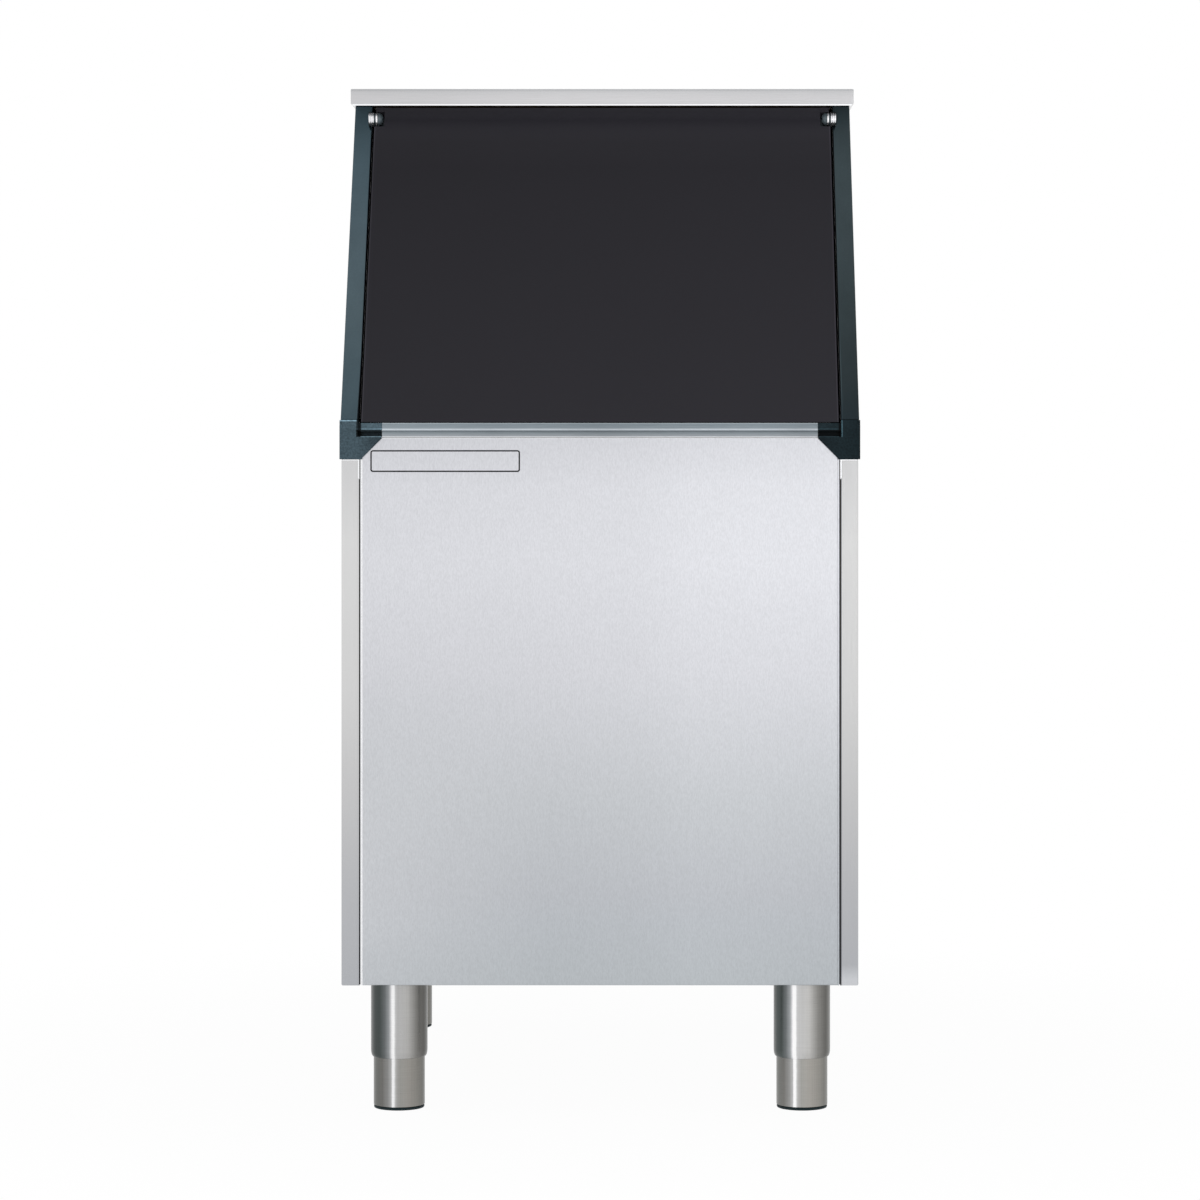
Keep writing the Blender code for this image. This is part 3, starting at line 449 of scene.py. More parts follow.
def front_sheet(name):
    """The front panel's brushed sheet, with painted highlights along its left and top edges and painted light
    in its lower left corner.
    """
    made = Finish(name)
    low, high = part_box("front_panel")
    glow_end = -0.06
    left_width = 0.0017
    top_width = 0.0011
    top_share = 0.6
    solid_share = 0.8
    # Painted light in the lower left corner, then painted highlights on the left edge and on the top bend
    glow = made.spread(made.axes["X"], 1.0, 0.0, low.x, glow_end)
    glow = made.math("MULTIPLY", glow, made.ramp(made.axes["Z"], painted_glow_height_shares))
    base = made.mixed(glow, made.ramp(made.axes["Z"], panel_painted_light_by_height), painted_panel_glow_colour)
    left = made.spread(made.axes["X"], 1.0, 0.0, low.x + left_width * solid_share, low.x + left_width)
    top = made.spread(made.axes["Z"], 0.0, top_share, high.z - top_width, high.z - top_width * solid_share)
    base = made.mixed(made.math("MAXIMUM", left, top), base, painted_panel_highlight_colour)
    return brush(made, base, "Z", panel_roughness, **panel_grain)


def side_sheet(name):
    """The side panels' brushed sheet, with painted shade along its inner edges, painted light low on the
    right, and a painted highlight line under each bracket.
    """
    made = Finish(name)
    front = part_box("front_panel")[0].y + seat_gap
    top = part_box("left_corner_bracket")[0].z
    roughness = 0.17
    contrast = 0.012
    line_width = 0.0013
    glow_share, glow_heights = 0.95, (0.147, 0.163)
    right_share, right_reach = 0.95, (0.2611, 0.2624)
    shares = {0.97: (0.2608, 0.2610), 0.08: (0.2608, 0.2640)}
    out = made.math("ABSOLUTE", made.axes["X"])
    right = made.math("GREATER_THAN", made.axes["X"], 0.0)
    facing = made.math("LESS_THAN", made.axes["Y"], front)
    glow = made.math("MULTIPLY", right, made.spread(made.axes["Z"], glow_share, 0.0, *glow_heights))
    glow = made.math("MULTIPLY", glow, facing)
    base = made.mixed(glow, made.ramp(made.axes["Z"], strip_painted_light_by_height), painted_strip_glow_colour)
    shadow = made.math("MULTIPLY", right, made.spread(out, right_share, 0.0, *right_reach))
    for share, reach in shares.items():
        shadow = made.math("MAXIMUM", shadow, made.spread(out, share, 0.0, *reach))
    base = made.mixed(shadow, base, painted_strip_shade_colour)
    line = made.math("GREATER_THAN", made.axes["Z"], top - line_width)
    line = made.math("MULTIPLY", line, made.math("LESS_THAN", made.axes["Z"], top))
    base = made.mixed(made.math("MULTIPLY", line, facing), base, painted_highlight_colour)
    return brush(made, base, "Z", roughness, contrast=contrast, tones=strip_painted_light_tones)


def painted_reflection_tube(name, bands):
    """A satin tube with painted reflections in lengthwise bands, wavering a little, painted lighter on the
    right legs, and fine lines round it and along it.
    """
    made = Finish(name)
    roughness = 0.30
    waver_sizes, waver_degrees = (0.02, 0.02, 0.012), 1.2
    line_sizes, line_contrast = (0.0009, 0.0009, 0.10), 0.05
    ring_sizes, ring_contrast, ring_depth = (0.03, 0.03, 0.0005), 0.04, 0.00002
    tones, tone_reach = (0.96, 1.17), 0.22
    centred = made.node("ShaderNodeVectorMath", {0: made.own_box, 1: (0.5, 0.5, 0.0)}, operation="SUBTRACT")
    turned_front = made.node("ShaderNodeMapping", {"Vector": centred.outputs[0], "Rotation": (0, 0, pi / 2)})
    turn = made.node("ShaderNodeTexGradient", {"Vector": turned_front.outputs[0]}, gradient_type="RADIAL")
    waver = made.noise(waver_sizes)
    angle = made.spread(turn.outputs["Fac"], -180.0, 180.0)
    angle = made.math("ADD", angle, made.spread(waver, -waver_degrees, waver_degrees))
    angle = made.math("ADD", angle, made.math("MULTIPLY", made.axes["X"], painted_reflection_shift))
    line = made.noise(line_sizes, 3.0)
    ring = made.noise(ring_sizes)
    shade = made.math("ADD", made.around(line, 1, line_contrast), made.around(ring, 0, ring_contrast))
    across = made.spread(made.axes["X"], *tones, -tone_reach, tone_reach)
    made.colour(made.ramp(angle, bands), made.math("MULTIPLY", shade, across))
    made.gloss(roughness, ring, metallic=1.0)
    made.bump(ring, ring_depth)
    return made.material


def plated(name, base, roughness, metallic=1.0):
    """Plated metal with faint cloudiness."""
    made = Finish(name)
    cloud_size = 0.004
    tones = (0.93, 1.05)
    cloud = made.clouds(cloud_size, 3.0)
    made.colour(base, made.spread(cloud, *tones, *noise_middle))
    made.gloss(roughness, cloud, metallic=metallic)
    return made.material


def galvanised(name):
    """Zinc-coated sheet with a faint crystal pattern."""
    made = Finish(name)
    roughness = 0.42
    roughness_spread = 0.07
    cells_per_metre = 140.0
    cell_tones = (0.92, 1.04)
    cloud_size = 0.12
    cloud_contrast = 0.03
    cell = made.node("ShaderNodeTexVoronoi", {"Vector": made.place, "Scale": cells_per_metre})
    tone = made.node("ShaderNodeSeparateColor", {"Color": cell.outputs["Color"]}).outputs[0]
    cloud = made.spread(made.clouds(cloud_size), -cloud_contrast, cloud_contrast)
    made.colour(galvanised_colour, made.math("ADD", made.spread(tone, *cell_tones), cloud))
    made.gloss(roughness, tone, roughness_spread, metallic=1.0)
    return made.material


def moulded(name, base, roughness, specular, grain=0.0009, depth=0.00004, variation=0.03, lean=0.0, edge=0.0):
    """Moulded plastic or rubber, of one colour or by height, with a fine texture.

    With a lean it is painted lighter to the right, as the light falls, and with an edge it has a painted
    highlight along the door's two sides.
    """
    made = Finish(name)
    cloud_size = 0.09
    lean_reach = 0.26
    edge_reach = (0.2572, 0.2580)
    if isinstance(base, dict):
        base = made.ramp(made.axes["Z"], base)
    fine = made.clouds(grain)
    cloud = made.spread(made.clouds(cloud_size), 1 - variation, 1 + variation)
    across = made.spread(made.axes["X"], 1 - lean, 1 + lean, -lean_reach, lean_reach)
    out = made.math("ABSOLUTE", made.axes["X"])
    across = made.math("ADD", across, made.spread(out, 0.0, edge, *edge_reach))
    made.colour(base, made.math("MULTIPLY", across, cloud))
    made.gloss(roughness, fine, specular=specular)
    made.bump(fine, depth)
    return made.material


def trim(made, left, right, tone, speckle):
    """Dark moulded trim whose colour shifts across the bin from its left one, painted lit, to its right one,
    painted in shade.
    """
    roughness = 0.36
    specular = 0.06
    reach = 0.282
    grain, grain_depth = 0.0010, 0.00004
    cloud_sizes, cloud_contrast = (0.03, 0.03, 0.05), 0.06
    speckle_size = 0.0020
    base = made.mixed(made.spread(made.axes["X"], 0.0, 1.0, -reach, reach), left, right)
    fine = made.clouds(grain)
    cloud = made.around(made.noise(cloud_sizes), 1, cloud_contrast)
    speckles = made.around(made.clouds(speckle_size), 0, speckle)
    made.colour(base, made.math("MULTIPLY", tone, made.math("ADD", cloud, speckles)))
    made.gloss(roughness, fine, specular=specular)
    made.bump(fine, grain_depth)
    return made.material


def post_trim(name):
    """The posts' trim, with painted shade along their lower inner edges and a painted highlight line up the
    right one's.
    """
    made = Finish(name)
    speckle = 0.04
    painted_highlight_tone, line_start, line_reach = 1.5, 0.2619, (0.2628, 0.2636)
    line_heights = (0.78, 0.86)
    shade_depth = 0.92
    shade_limits, limit_heights = (0.2634, 0.26205), (0.753, 0.82)
    left = made.ramp(made.axes["Z"], post_left_painted_light_by_height)
    right = made.ramp(made.axes["Z"], post_right_painted_light_by_height)
    line = made.spread(made.axes["X"], painted_highlight_tone, 0.0, *line_reach)
    line = made.math("MULTIPLY", line, made.math("GREATER_THAN", made.axes["X"], line_start))
    line = made.math("MULTIPLY", line, made.spread(made.axes["Z"], 1.0, 0.0, *line_heights))
    limit = made.spread(made.axes["Z"], *shade_limits, *limit_heights)
    inner = made.math("LESS_THAN", made.math("ABSOLUTE", made.axes["X"]), limit)
    tone = made.math("ADD", line, 1.0)
    tone = made.math("ADD", tone, made.math("MULTIPLY", inner, -shade_depth))
    return trim(made, left, right, tone, speckle)


def bracket_trim(name):
    """The bracket's trim: painted light across its face, painted highlight lines at its left seam and right
    inner edge, and painted light and shade in the pocket.
    """
    made = Finish(name)
    speckle = 0.24
    painted_face_light_tones, face_reach = (0.62, 1.06), (0.243, 0.262)
    painted_right_light_tone = 1.38
    painted_seam_highlight_tone, seam_heights = 3.0, (0.7514, 0.7518)
    painted_highlight_tone, line_start, line_reach = 8.0, 0.2614, (0.2626, 0.2632)
    painted_wall_shade_tone, wall_reach = 0.12, (0.2588, 0.2592)
    pocket_limits = (0.2638, 0.2616)
    pocket_bottom = 0.7345
    switch = (-0.01, 0.01)
    out = made.math("ABSOLUTE", made.axes["X"])
    above = made.math("GREATER_THAN", made.axes["Z"], pocket_bottom)
    face = made.spread(out, *painted_face_light_tones, *face_reach)
    face = made.math("MULTIPLY", face, made.spread(made.axes["X"], 1.0, painted_right_light_tone, *switch))
    seam = made.spread(made.axes["Z"], 0.0, painted_seam_highlight_tone, *seam_heights)
    seam = made.math("MULTIPLY", seam, made.spread(made.axes["X"], 1.0, 0.0, *switch))
    line = made.spread(made.axes["X"], painted_highlight_tone, 0.0, *line_reach)
    line = made.math("MULTIPLY", line, made.math("GREATER_THAN", made.axes["X"], line_start))
    line = made.math("MULTIPLY", line, above)
    face = made.math("ADD", made.math("ADD", face, seam), line)
    wall = made.spread(out, 1.0, painted_wall_shade_tone, *wall_reach)
    pocket = made.math("MULTIPLY", made.ramp(made.axes["Z"], pocket_painted_light_by_height), wall)
    limit = made.spread(made.axes["X"], *pocket_limits, *switch)
    inside = made.math("MULTIPLY", made.math("LESS_THAN", out, limit), above)
    tone = made.node("ShaderNodeMix", {"Factor": inside, "A": face, "B": pocket}).outputs[0]
    return trim(made, painted_lit_bracket_colour, painted_shaded_bracket_colour, tone, speckle)


def foam(name):
    """Cut rigid foam: small cells and a mottled tone."""
    made = Finish(name)
    roughness = 0.9
    specular = 0.2
    cells_per_metre = 900.0
    cell_depth = 0.0003
    mottle_size = 0.02
    tones = (0.92, 1.05)
    cell = made.node("ShaderNodeTexVoronoi", {"Vector": made.place, "Scale": cells_per_metre})
    made.colour(foam_colour, made.spread(made.clouds(mottle_size, 3.0), *tones))
    made.gloss(roughness, specular=specular)
    made.bump(cell.outputs["Distance"], cell_depth)
    return made.material


# Grain of the brushed and moulded finishes, with their painted light and shade: tones by X, and the door's
# lean and edge
panel_roughness = 0.34
panel_grain = {"streak": (0.0034, 0.0011), "contrast": 0.06, "tones": panel_painted_light_tones}
edge_grain = {"streak": (0.05, 0.0009), "contrast": 0.035}
slab_grain = {"streak": (0.03, 0.0009), "contrast": 0.02, "tones": slab_painted_light_tones}
sill_grain = {"streak": (0.02, 0.0012), "contrast": 0.06, "tones": sill_painted_light_tones}
door_texture = {"depth": 0.00002, "variation": 0.02, "lean": 0.07, "edge": 1.0}
liner_texture = {"grain": 0.004, "depth": 0.00003, "variation": 0.012}

# Finishes, with their roughness and, for moulded ones, how strongly they reflect
finishes = {
    "brushed_stainless": side_sheet("brushed_stainless"),
    "front_stainless": front_sheet("front_stainless"),
    "top_stainless": brushed_metal("top_stainless", slab_painted_light_by_height, "X", 0.22, **slab_grain),
    # Near white brushed metal: a painted highlight for the hem, the tongues and the left panel bend
    "bright_edge": brushed_metal("bright_edge", painted_highlight_colour, "X", 0.22, **edge_grain),
    "sill_metal": brushed_metal("sill_metal", sill_painted_light_by_height, "X", 0.36, **sill_grain),
    "galvanised_sheet": galvanised("galvanised_sheet"),
    "leg_tube_steel": painted_reflection_tube("leg_tube_steel", upper_tube_painted_reflections),
    "foot_tube_steel": painted_reflection_tube("foot_tube_steel", lower_tube_painted_reflections),
    "leg_hardware": plated("leg_hardware", zinc_colour, 0.38),
    "hinge_chrome": plated("hinge_chrome", nickel_colour, 0.14, metallic=0.9),
    "hinge_pin_steel": plated("hinge_pin_steel", dark_steel_colour, 0.34, metallic=0.2),
    "trim_plastic": post_trim("trim_plastic"),
    "bracket_plastic": bracket_trim("bracket_plastic"),
    "door_plastic": moulded("door_plastic", door_painted_light_by_height, 0.42, 0.08, **door_texture),
    "tank_liner": moulded("tank_liner", liner_colour, 0.38, 0.45, **liner_texture),
    "insulation_foam": foam("insulation_foam"),
    "drain_plastic": moulded("drain_plastic", drain_colour, 0.45, 0.4),
    "seal_rubber": moulded("seal_rubber", rubber_colour, 0.62, 0.10),
    # Dark and black strips painted as the shade in the gaps
    "gap_shade": moulded("gap_shade", painted_gap_shade_colour, 0.60, 0.10),
    "gap_black": moulded("gap_black", painted_gap_shadow_colour, 0.85, 0.02),
    "foot_rubber": moulded("foot_rubber", foot_rubber_colour, 0.55, 0.20),
    "badge_metal": brushed_metal("badge_metal", panel_painted_light_by_height, "Z", panel_roughness, **panel_grain),
    "badge_border": moulded("badge_border", border_colour, 0.5, 0.1),
}
node_finishes = {
    "front_panel": "front_stainless",
    "left_corner_bracket": "bracket_plastic",
    "right_corner_bracket": "bracket_plastic",
}
for part in frame["record"]["subparts"]:
    node = frame["nodes"][part["node"]]
    finish = finishes[node_finishes.get(part["node"], part["material_slot"])]
    node.data.materials.clear()
    node.data.materials.append(finish)


def piece(shape, name, finish, body, replaced=()):
    """An object of the bin from a shape, with its finish and the body it rides on."""
    bmesh.ops.recalc_face_normals(shape, faces=shape.faces)
    mesh = bpy.data.meshes.new(name)
    shape.to_mesh(mesh)
    shape.free()
    mesh.shade_smooth()
    mesh.set_sharp_from_angle(angle=radians(sharp_angle))
    mesh.materials.append(finishes[finish])
    thing = bpy.data.objects.new(name, mesh)
    bpy.context.scene.collection.objects.link(thing)
    thing.modifiers.new("flat_faces", "WEIGHTED_NORMAL").keep_sharp = True
    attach(thing, body)
    if replaced:
        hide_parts(*replaced)
    return thing


def bridge(shape, rings, closed):
    """Faces between rings of points, each ring a loop or a single point."""
    pairs = list(zip(rings, rings[1:]))
    if closed:
        pairs.append((rings[-1], rings[0]))
    for low, high in pairs:
        count = max(len(low), len(high))
        for i in range(count):
            j = (i + 1) % count
            corners = [low[i % len(low)], low[j % len(low)], high[j % len(high)], high[i % len(high)]]
            shape.faces.new(list(dict.fromkeys(corners)))


def fillet(points, radius, steps=corner_steps, closed=True):
    """An outline with its corners rounded, each by no more than its shorter side allows."""
    rounded = []
    count = len(points)
    for i, point in enumerate(points):
        corner = Vector(point)
        if not closed and i in (0, count - 1):
            rounded.append(tuple(corner))
            continue
        before = Vector(points[i - 1]) - corner
        after = Vector(points[(i + 1) % count]) - corner
        reach = min(radius, before.length * fillet_share, after.length * fillet_share)
        start = corner + before.normalized() * reach
        end = corner + after.normalized() * reach
        for step in range(steps + 1):
            t = step / steps
            rounded.append(tuple(start * (1 - t) ** 2 + corner * 2 * t * (1 - t) + end * t ** 2))
    return rounded


def arc(centre, radius, start, end, steps):
    """Points on an arc, with angles in degrees."""
    angles = [radians(start + (end - start) * i / steps) for i in range(steps + 1)]
    return [(centre[0] + radius * cos(a), centre[1] + radius * sin(a)) for a in angles]


def turned(name, profile, place, finish, body, replaced=(), side=0):
    """A profile of (radius, height) turned round an upright axis, or sideways, out towards a side."""
    shape = bmesh.new()
    steps = small_turn_steps if side else turn_steps
    rings = []
    for radius, height in profile:
        angles = [2 * pi * i / steps for i in range(steps)] if radius > 0 else [0]
        rings.append([shape.verts.new((radius * cos(a), radius * sin(a), height)) for a in angles])
    bridge(shape, rings, profile[0][0] > 0 and profile[-1][0] > 0)
    if side:
        shape.transform(Matrix.Rotation(side * pi / 2, 4, "Y"))
    shape.transform(Matrix.Translation(place))
    return piece(shape, name, finish, body, replaced)


def swept(name, outline, ends, place, finish, body, replaced=()):
    """An outline swept between two ends; place turns (u, v, end) into a point."""
    shape = bmesh.new()
    rings = [[shape.verts.new(place(u, v, end)) for u, v in outline] for end in ends]
    bridge(shape, rings, False)
    shape.faces.new(rings[0])
    shape.faces.new(rings[1])
    return piece(shape, name, finish, body, replaced)


def rectangle_ring(low, high, inset, radius):
    """A rectangle drawn in by an inset, with rounded corners."""
    points = []
    least_rounding = 0.0003
    steps = 6
    rounding = max(radius - inset, least_rounding)
    left, right = low[0] + inset + rounding, high[0] - inset - rounding
    near, far = low[1] + inset + rounding, high[1] - inset - rounding
    for centre, start in (((right, far), 0), ((left, far), 90), ((left, near), 180), ((right, near), 270)):
        points += arc(centre, rounding, start, start + 90, steps)
    return points


def framed(name, section, place, finish, body, replaced=()):
    """A frame whose section is a closed path of (low, high, corner radius, inset, height) rectangles."""
    shape = bmesh.new()
    rings = []
    for low, high, radius, inset, height in section:
        ring = rectangle_ring(low, high, inset, radius)
        rings.append([shape.verts.new(place(u, v, height)) for u, v in ring])
    bridge(shape, rings, True)
    return piece(shape, name, finish, body, replaced)


def middle_of(node):
    """The middle of a node's box."""
    low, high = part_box(node)
    return (low + high) / 2


hinge_axis = middle_of("left_hinge_barrel")


def on_slope(s, p, x):
    """The point at s up the slope from the hinge axis and p into the cabinet from the posts' face."""
    into = p - hinge_depth
    y = hinge_axis.y + s * sin(slope) + into * cos(slope)
    return x, y, hinge_axis.z + s * cos(slope) - into * sin(slope)


def make_leg(word):
    """The leg's tubes and pad with their turned edges."""
    body = word + "_foot"
    tube_low, tube_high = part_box(word + "_leg_tube")
    foot_low, foot_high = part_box(word + "_foot_tube")
    pad_low, pad_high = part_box(word + "_foot_pad")
    centre = middle_of(word + "_leg_tube")
    place = (centre.x, centre.y, 0)
    outer = (tube_high.x - tube_low.x) / 2
    foot = (foot_high.x - foot_low.x) / 2
    wall = 0.0015
    lip = wall / 3
    rim_round = wall / 2
    shoulder_drop = 0.008
    shoulder_steps = 10
    mouth = foot + seat_gap
    bottom = tube_low.z
    across = outer - mouth - lip
    profile = [(outer - wall, tube_high.z), (outer, tube_high.z)]
    for u, v in arc((0, 0), 1, 0, -90, shoulder_steps):
        profile.append((outer + across * (u - 1), bottom + shoulder_drop * (1 + v)))
    profile += [(mouth, bottom), (mouth, bottom + wall), (outer - wall, bottom + shoulder_drop + wall)]
    replaced = [word + "_leg_tube"]
    turned(word + "_upper_tube", profile, place, "leg_tube_steel", "root", replaced)
    rod_bore = 0.0055
    cap = 0.004
    outline = [
        (0, foot_low.z + wall),
        (foot - wall, foot_low.z + wall),
        (foot - wall, foot_high.z - cap),
        (rod_bore, foot_high.z - cap),
        (rod_bore, foot_high.z),
        (foot, foot_high.z),
        (foot, foot_low.z),
        (0, foot_low.z),
    ]
    outline = fillet(outline, rim_round, closed=False)
    replaced = [word + "_foot_tube"]
    turned(word + "_lower_tube", outline, place, "foot_tube_steel", body, replaced)
    pad = (pad_high.x - pad_low.x) / 2
    pad_round = 0.0014
    outline = [(0, pad_high.z), (pad, pad_high.z), (pad, pad_low.z), (0, pad_low.z)]
    outline = fillet(outline, pad_round, closed=False)
    turned(word + "_rubber_pad", outline, place, "foot_rubber", body, [word + "_foot_pad"])


def opening_corners(node, rim):
    """The opening's low and high corners in a plate's top face, more than a rim away from its outline."""
    low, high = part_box(node)
    points = [vertex.co for vertex in frame["nodes"][node].data.vertices]
    points = [p for p in points if p.z > high.z - seat_gap and low.x + rim < p.x < high.x - rim]
    points = [p for p in points if low.y + rim < p.y < high.y - rim]
    across = [p.x for p in points]
    along_y = [p.y for p in points]
    return (min(across), min(along_y)), (max(across), max(along_y))


def make_top():
    """The top frame with its rounded corners and edges, and the hem under its front, painted bright as a
    highlight.
    """
    low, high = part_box("top_frame")
    sheet = 0.001
    corner = 0.0022
    opening_corner = 0.003
    edge = 0.0009
    return_width = 0.025
    bottom = low.z
    top = high.z
    outside = (low[:2], high[:2], corner)
    inside = (*opening_corners("top_frame", return_width), opening_corner)
    section = [(*outside, return_width, bottom), (*outside, edge, bottom)]
    for u, v in arc((0, 0), edge, -90, 0, corner_steps):
        section.append((*outside, edge - u, bottom + edge + v))
    for u, v in arc((0, 0), edge, 0, 90, corner_steps):
        section.append((*outside, edge - u, top - edge + v))
    for u, v in arc((0, 0), edge, 90, 0, corner_steps):
        section.append((*inside, u - edge, top - edge + v))
    section += [
        (*inside, 0.0, bottom),
        (*inside, -sheet, bottom),
        (*inside, -sheet, top - sheet),
        (*outside, sheet, top - sheet),
        (*outside, sheet, bottom + sheet),
        (*outside, return_width, bottom + sheet),
    ]

    def upright(u, v, height):
        return u, v, height

    framed("top_plate", section, upright, "top_stainless", "root", ["top_frame"])
    drop = 0.0020
    rise = 0.0002
    proud = 0.0001
    depth = 0.0018
    rounding = 0.0004
    hem = [
        (low.y - proud, bottom + rise),
        (low.y - proud, bottom - drop),
        (low.y + depth, bottom - drop),
        (low.y + depth, bottom - seat_gap),
        (low.y + proud * 2, bottom - seat_gap),
        (low.y + proud * 2, bottom + rise),
    ]

    def across(y, z, x):
        return x, y, z

    reach = high.x - corner
    hem = fillet(hem, rounding)
    # The hem's near white finish is a painted highlight along the frame's lower front edge
    swept("top_hem", hem, (-reach, reach), across, "bright_edge", "root")


def make_badge_border():
    """A thin dark line round the edge of the blank plate."""
    low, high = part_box("badge_plate")
    width = 0.0015
    lift = 0.0001
    corner = 0.0028
    flat = ((low.x, low.z), (high.x, high.z), corner)
    path = [(0.0, low.y), (0.0, low.y - lift), (width, low.y - lift), (width, low.y)]

    def facing(u, v, y):
        return u, y, v

    section = [(*flat, inset, y) for inset, y in path]
    framed("badge_border", section, facing, "badge_border", "root")


def make_hinge(word, side):
    """The ribbed barrel, the rounded washer and the domed pin with its cross recess."""
    place = (0, hinge_axis.y, hinge_axis.z)

    def extent(node):
        """Where a piece starts and ends along the hinge axis, and its radius."""
        low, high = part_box(word + node)
        near, far = sorted((abs(low.x), abs(high.x)))
        return near, far, (high.z - low.z) / 2

    def make(name, profile, finish, node):
        return turned(word + name, profile, place, finish, "root", [word + node], side)

    near, far, radius = extent("_hinge_barrel")
    bore = 0.0026
    groove = 0.0007
    valley = groove * 1.4
    ribs = 3
    rib_shares = (0.10, 0.25, 0.5, 0.75, 0.90)
    rib = (far - near) / ribs
    profile = [(bore, near), (radius - groove, near)]
    for i in range(ribs):
        for t in rib_shares:
            profile.append((radius - groove * (2 * t - 1) ** 4, near + (i + t) * rib))
        if i < ribs - 1:
            profile.append((radius - valley, near + (i + 1) * rib))
    profile += [(radius - groove, far), (bore, far)]
    make("_ribbed_barrel", profile, "hinge_chrome", "_hinge_barrel")

    near, far, radius = extent("_hinge_washer")
    rounding = 0.0007
    profile = fillet([(bore, near), (radius, near), (radius, far), (bore, far)], rounding)
    make("_round_washer", profile, "hinge_chrome", "_hinge_washer")

    near, far, radius = extent("_hinge_pin")
    height = 0.006
    shank = 0.0022
    recess_half_width = 0.0009
    recess_reach = 0.0036
    recess_depth = 0.0014
    dome_steps = 40
    profile = [(0, far), (shank, far), (shank, near + height)]
    profile += [(radius * u, near + height * (1 - v)) for u, v in arc((0, 0), 1, 0, 90, dome_steps)[:-1]]
    profile.append((0, near))
    pin = make("_domed_pin", profile, "hinge_pin_steel", "_hinge_pin")
    for vertex in pin.data.vertices:
        u = abs(vertex.co.y - hinge_axis.y)
        v = abs(vertex.co.z - hinge_axis.z)
        on_head = abs(vertex.co.x) < near + height / 2
        if on_head and min(u, v) < recess_half_width and max(u, v) < recess_reach:
            vertex.co.x += side * recess_depth


def make_hood(word, side):
    """A curved part of the door over the hinge, in the notch that clears it."""
    near = 0.2480
    far = 0.2575
    outer = 0.0152
    inner = 0.0090
    low = 0.0070
    deep = 0.0120
    turn_in = 0.0057
    outer_turn, outer_steps = (-5.6, 52.0), 14
    inner_turn, inner_steps = (39.0, -9.6), 12
    points = arc((0, 0), outer, *outer_turn, outer_steps)
    points += [(low, deep), (low, turn_in)]
    points += arc((0, 0), inner, *inner_turn, inner_steps)
    outline = [(s, into + hinge_depth) for s, into in points]
    ends = (side * near, side * far)
    swept(word + "_hinge_hood", outline, ends, on_slope, "door_plastic", "door")


def make_gap_trims():
    """Flat black strips on the tank's flange, behind the gaps beside and above the door, painted black as the
    shade in the gaps.
    """
    front = 0.0188
    back = flange_face_depth - seat_gap
    reach = 0.0250
    foot = -0.3950
    header_foot = -0.012
    inner = 0.2512
    outer = 0.2617
    for word, side in sides.items():
        outline = [(foot, front), (reach, front), (reach, back), (foot, back)]
        ends = (side * inner, side * outer)
        swept(word + "_gap_strip", outline, ends, on_slope, "gap_black", "root")
    outline = [(header_foot, front), (reach, front), (reach, back), (header_foot, back)]
    ends = (seat_gap - inner, inner - seat_gap)
    swept("header_gap_strip", outline, ends, on_slope, "gap_black", "root")


def make_panel_gap_details(word, side):
    """A dark strip in the gap beside the front panel as painted shade, the panel's bend, painted bright on
    the left as a highlight, and the tongue at its top, painted bright as a highlight.
    """
    panel_low, panel_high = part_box("front_panel")
    strip_low, strip_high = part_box(word + "_side_panel")
    strip_inner = min(abs(strip_low.x), abs(strip_high.x))
    margin = 0.0001
    end_margin = 0.001
    shade_depth = 0.0012
    shade_thickness = 0.001
    near, far = side * (panel_high.x + margin), side * (strip_inner - margin)
    front = panel_low.y + shade_depth
    back = front + shade_thickness
    outline = [(near, front), (far, front), (far, back), (near, back)]
    ends = (panel_low.z + end_margin, panel_high.z - end_margin)

    def upright(x, y, z):
        return x, y, z

    def facing(x, z, y):
        return x, y, z

    # A dark strip that stands in for the shade in the gap
    swept(word + "_gap_shade", outline, ends, upright, "gap_shade", "root")
    bracket_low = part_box(word + "_corner_bracket")[0].z
    bend_radius = 0.0015
    reach = 0.0007
    hollow = bend_radius + margin
    hollow_turn = (-20, -60)
    middle = (panel_high.x - bend_radius, panel_low.y + bend_radius)
    inner = arc(middle, hollow, *hollow_turn, 2)
    outer = panel_high.x + reach
    outline = [(inner[-1][0], panel_low.y), (outer, panel_low.y), (outer, inner[0][1])] + inner
    outline = [(side * x, y) for x, y in outline]
    # On the left the bend is painted near white as a highlight
    finish = "bright_edge" if side < 0 else "front_stainless"
    ends = (panel_low.z, bracket_low - seat_gap)
    swept(word + "_panel_bend", outline, ends, upright, finish, "root")
    height = 0.0215
    width = 0.0016
    thickness = 0.0003
    top = bracket_low - seat_gap
    near, far = side * strip_inner, side * (strip_inner + width)
    outline = [(near, top), (far, top), (far, top - height + width), (near, top - height)]
    ends = (panel_low.y - margin - thickness, panel_low.y - margin)
    # The tongue is painted near white as a highlight
    swept(word + "_tongue", outline, ends, facing, "bright_edge", "root")


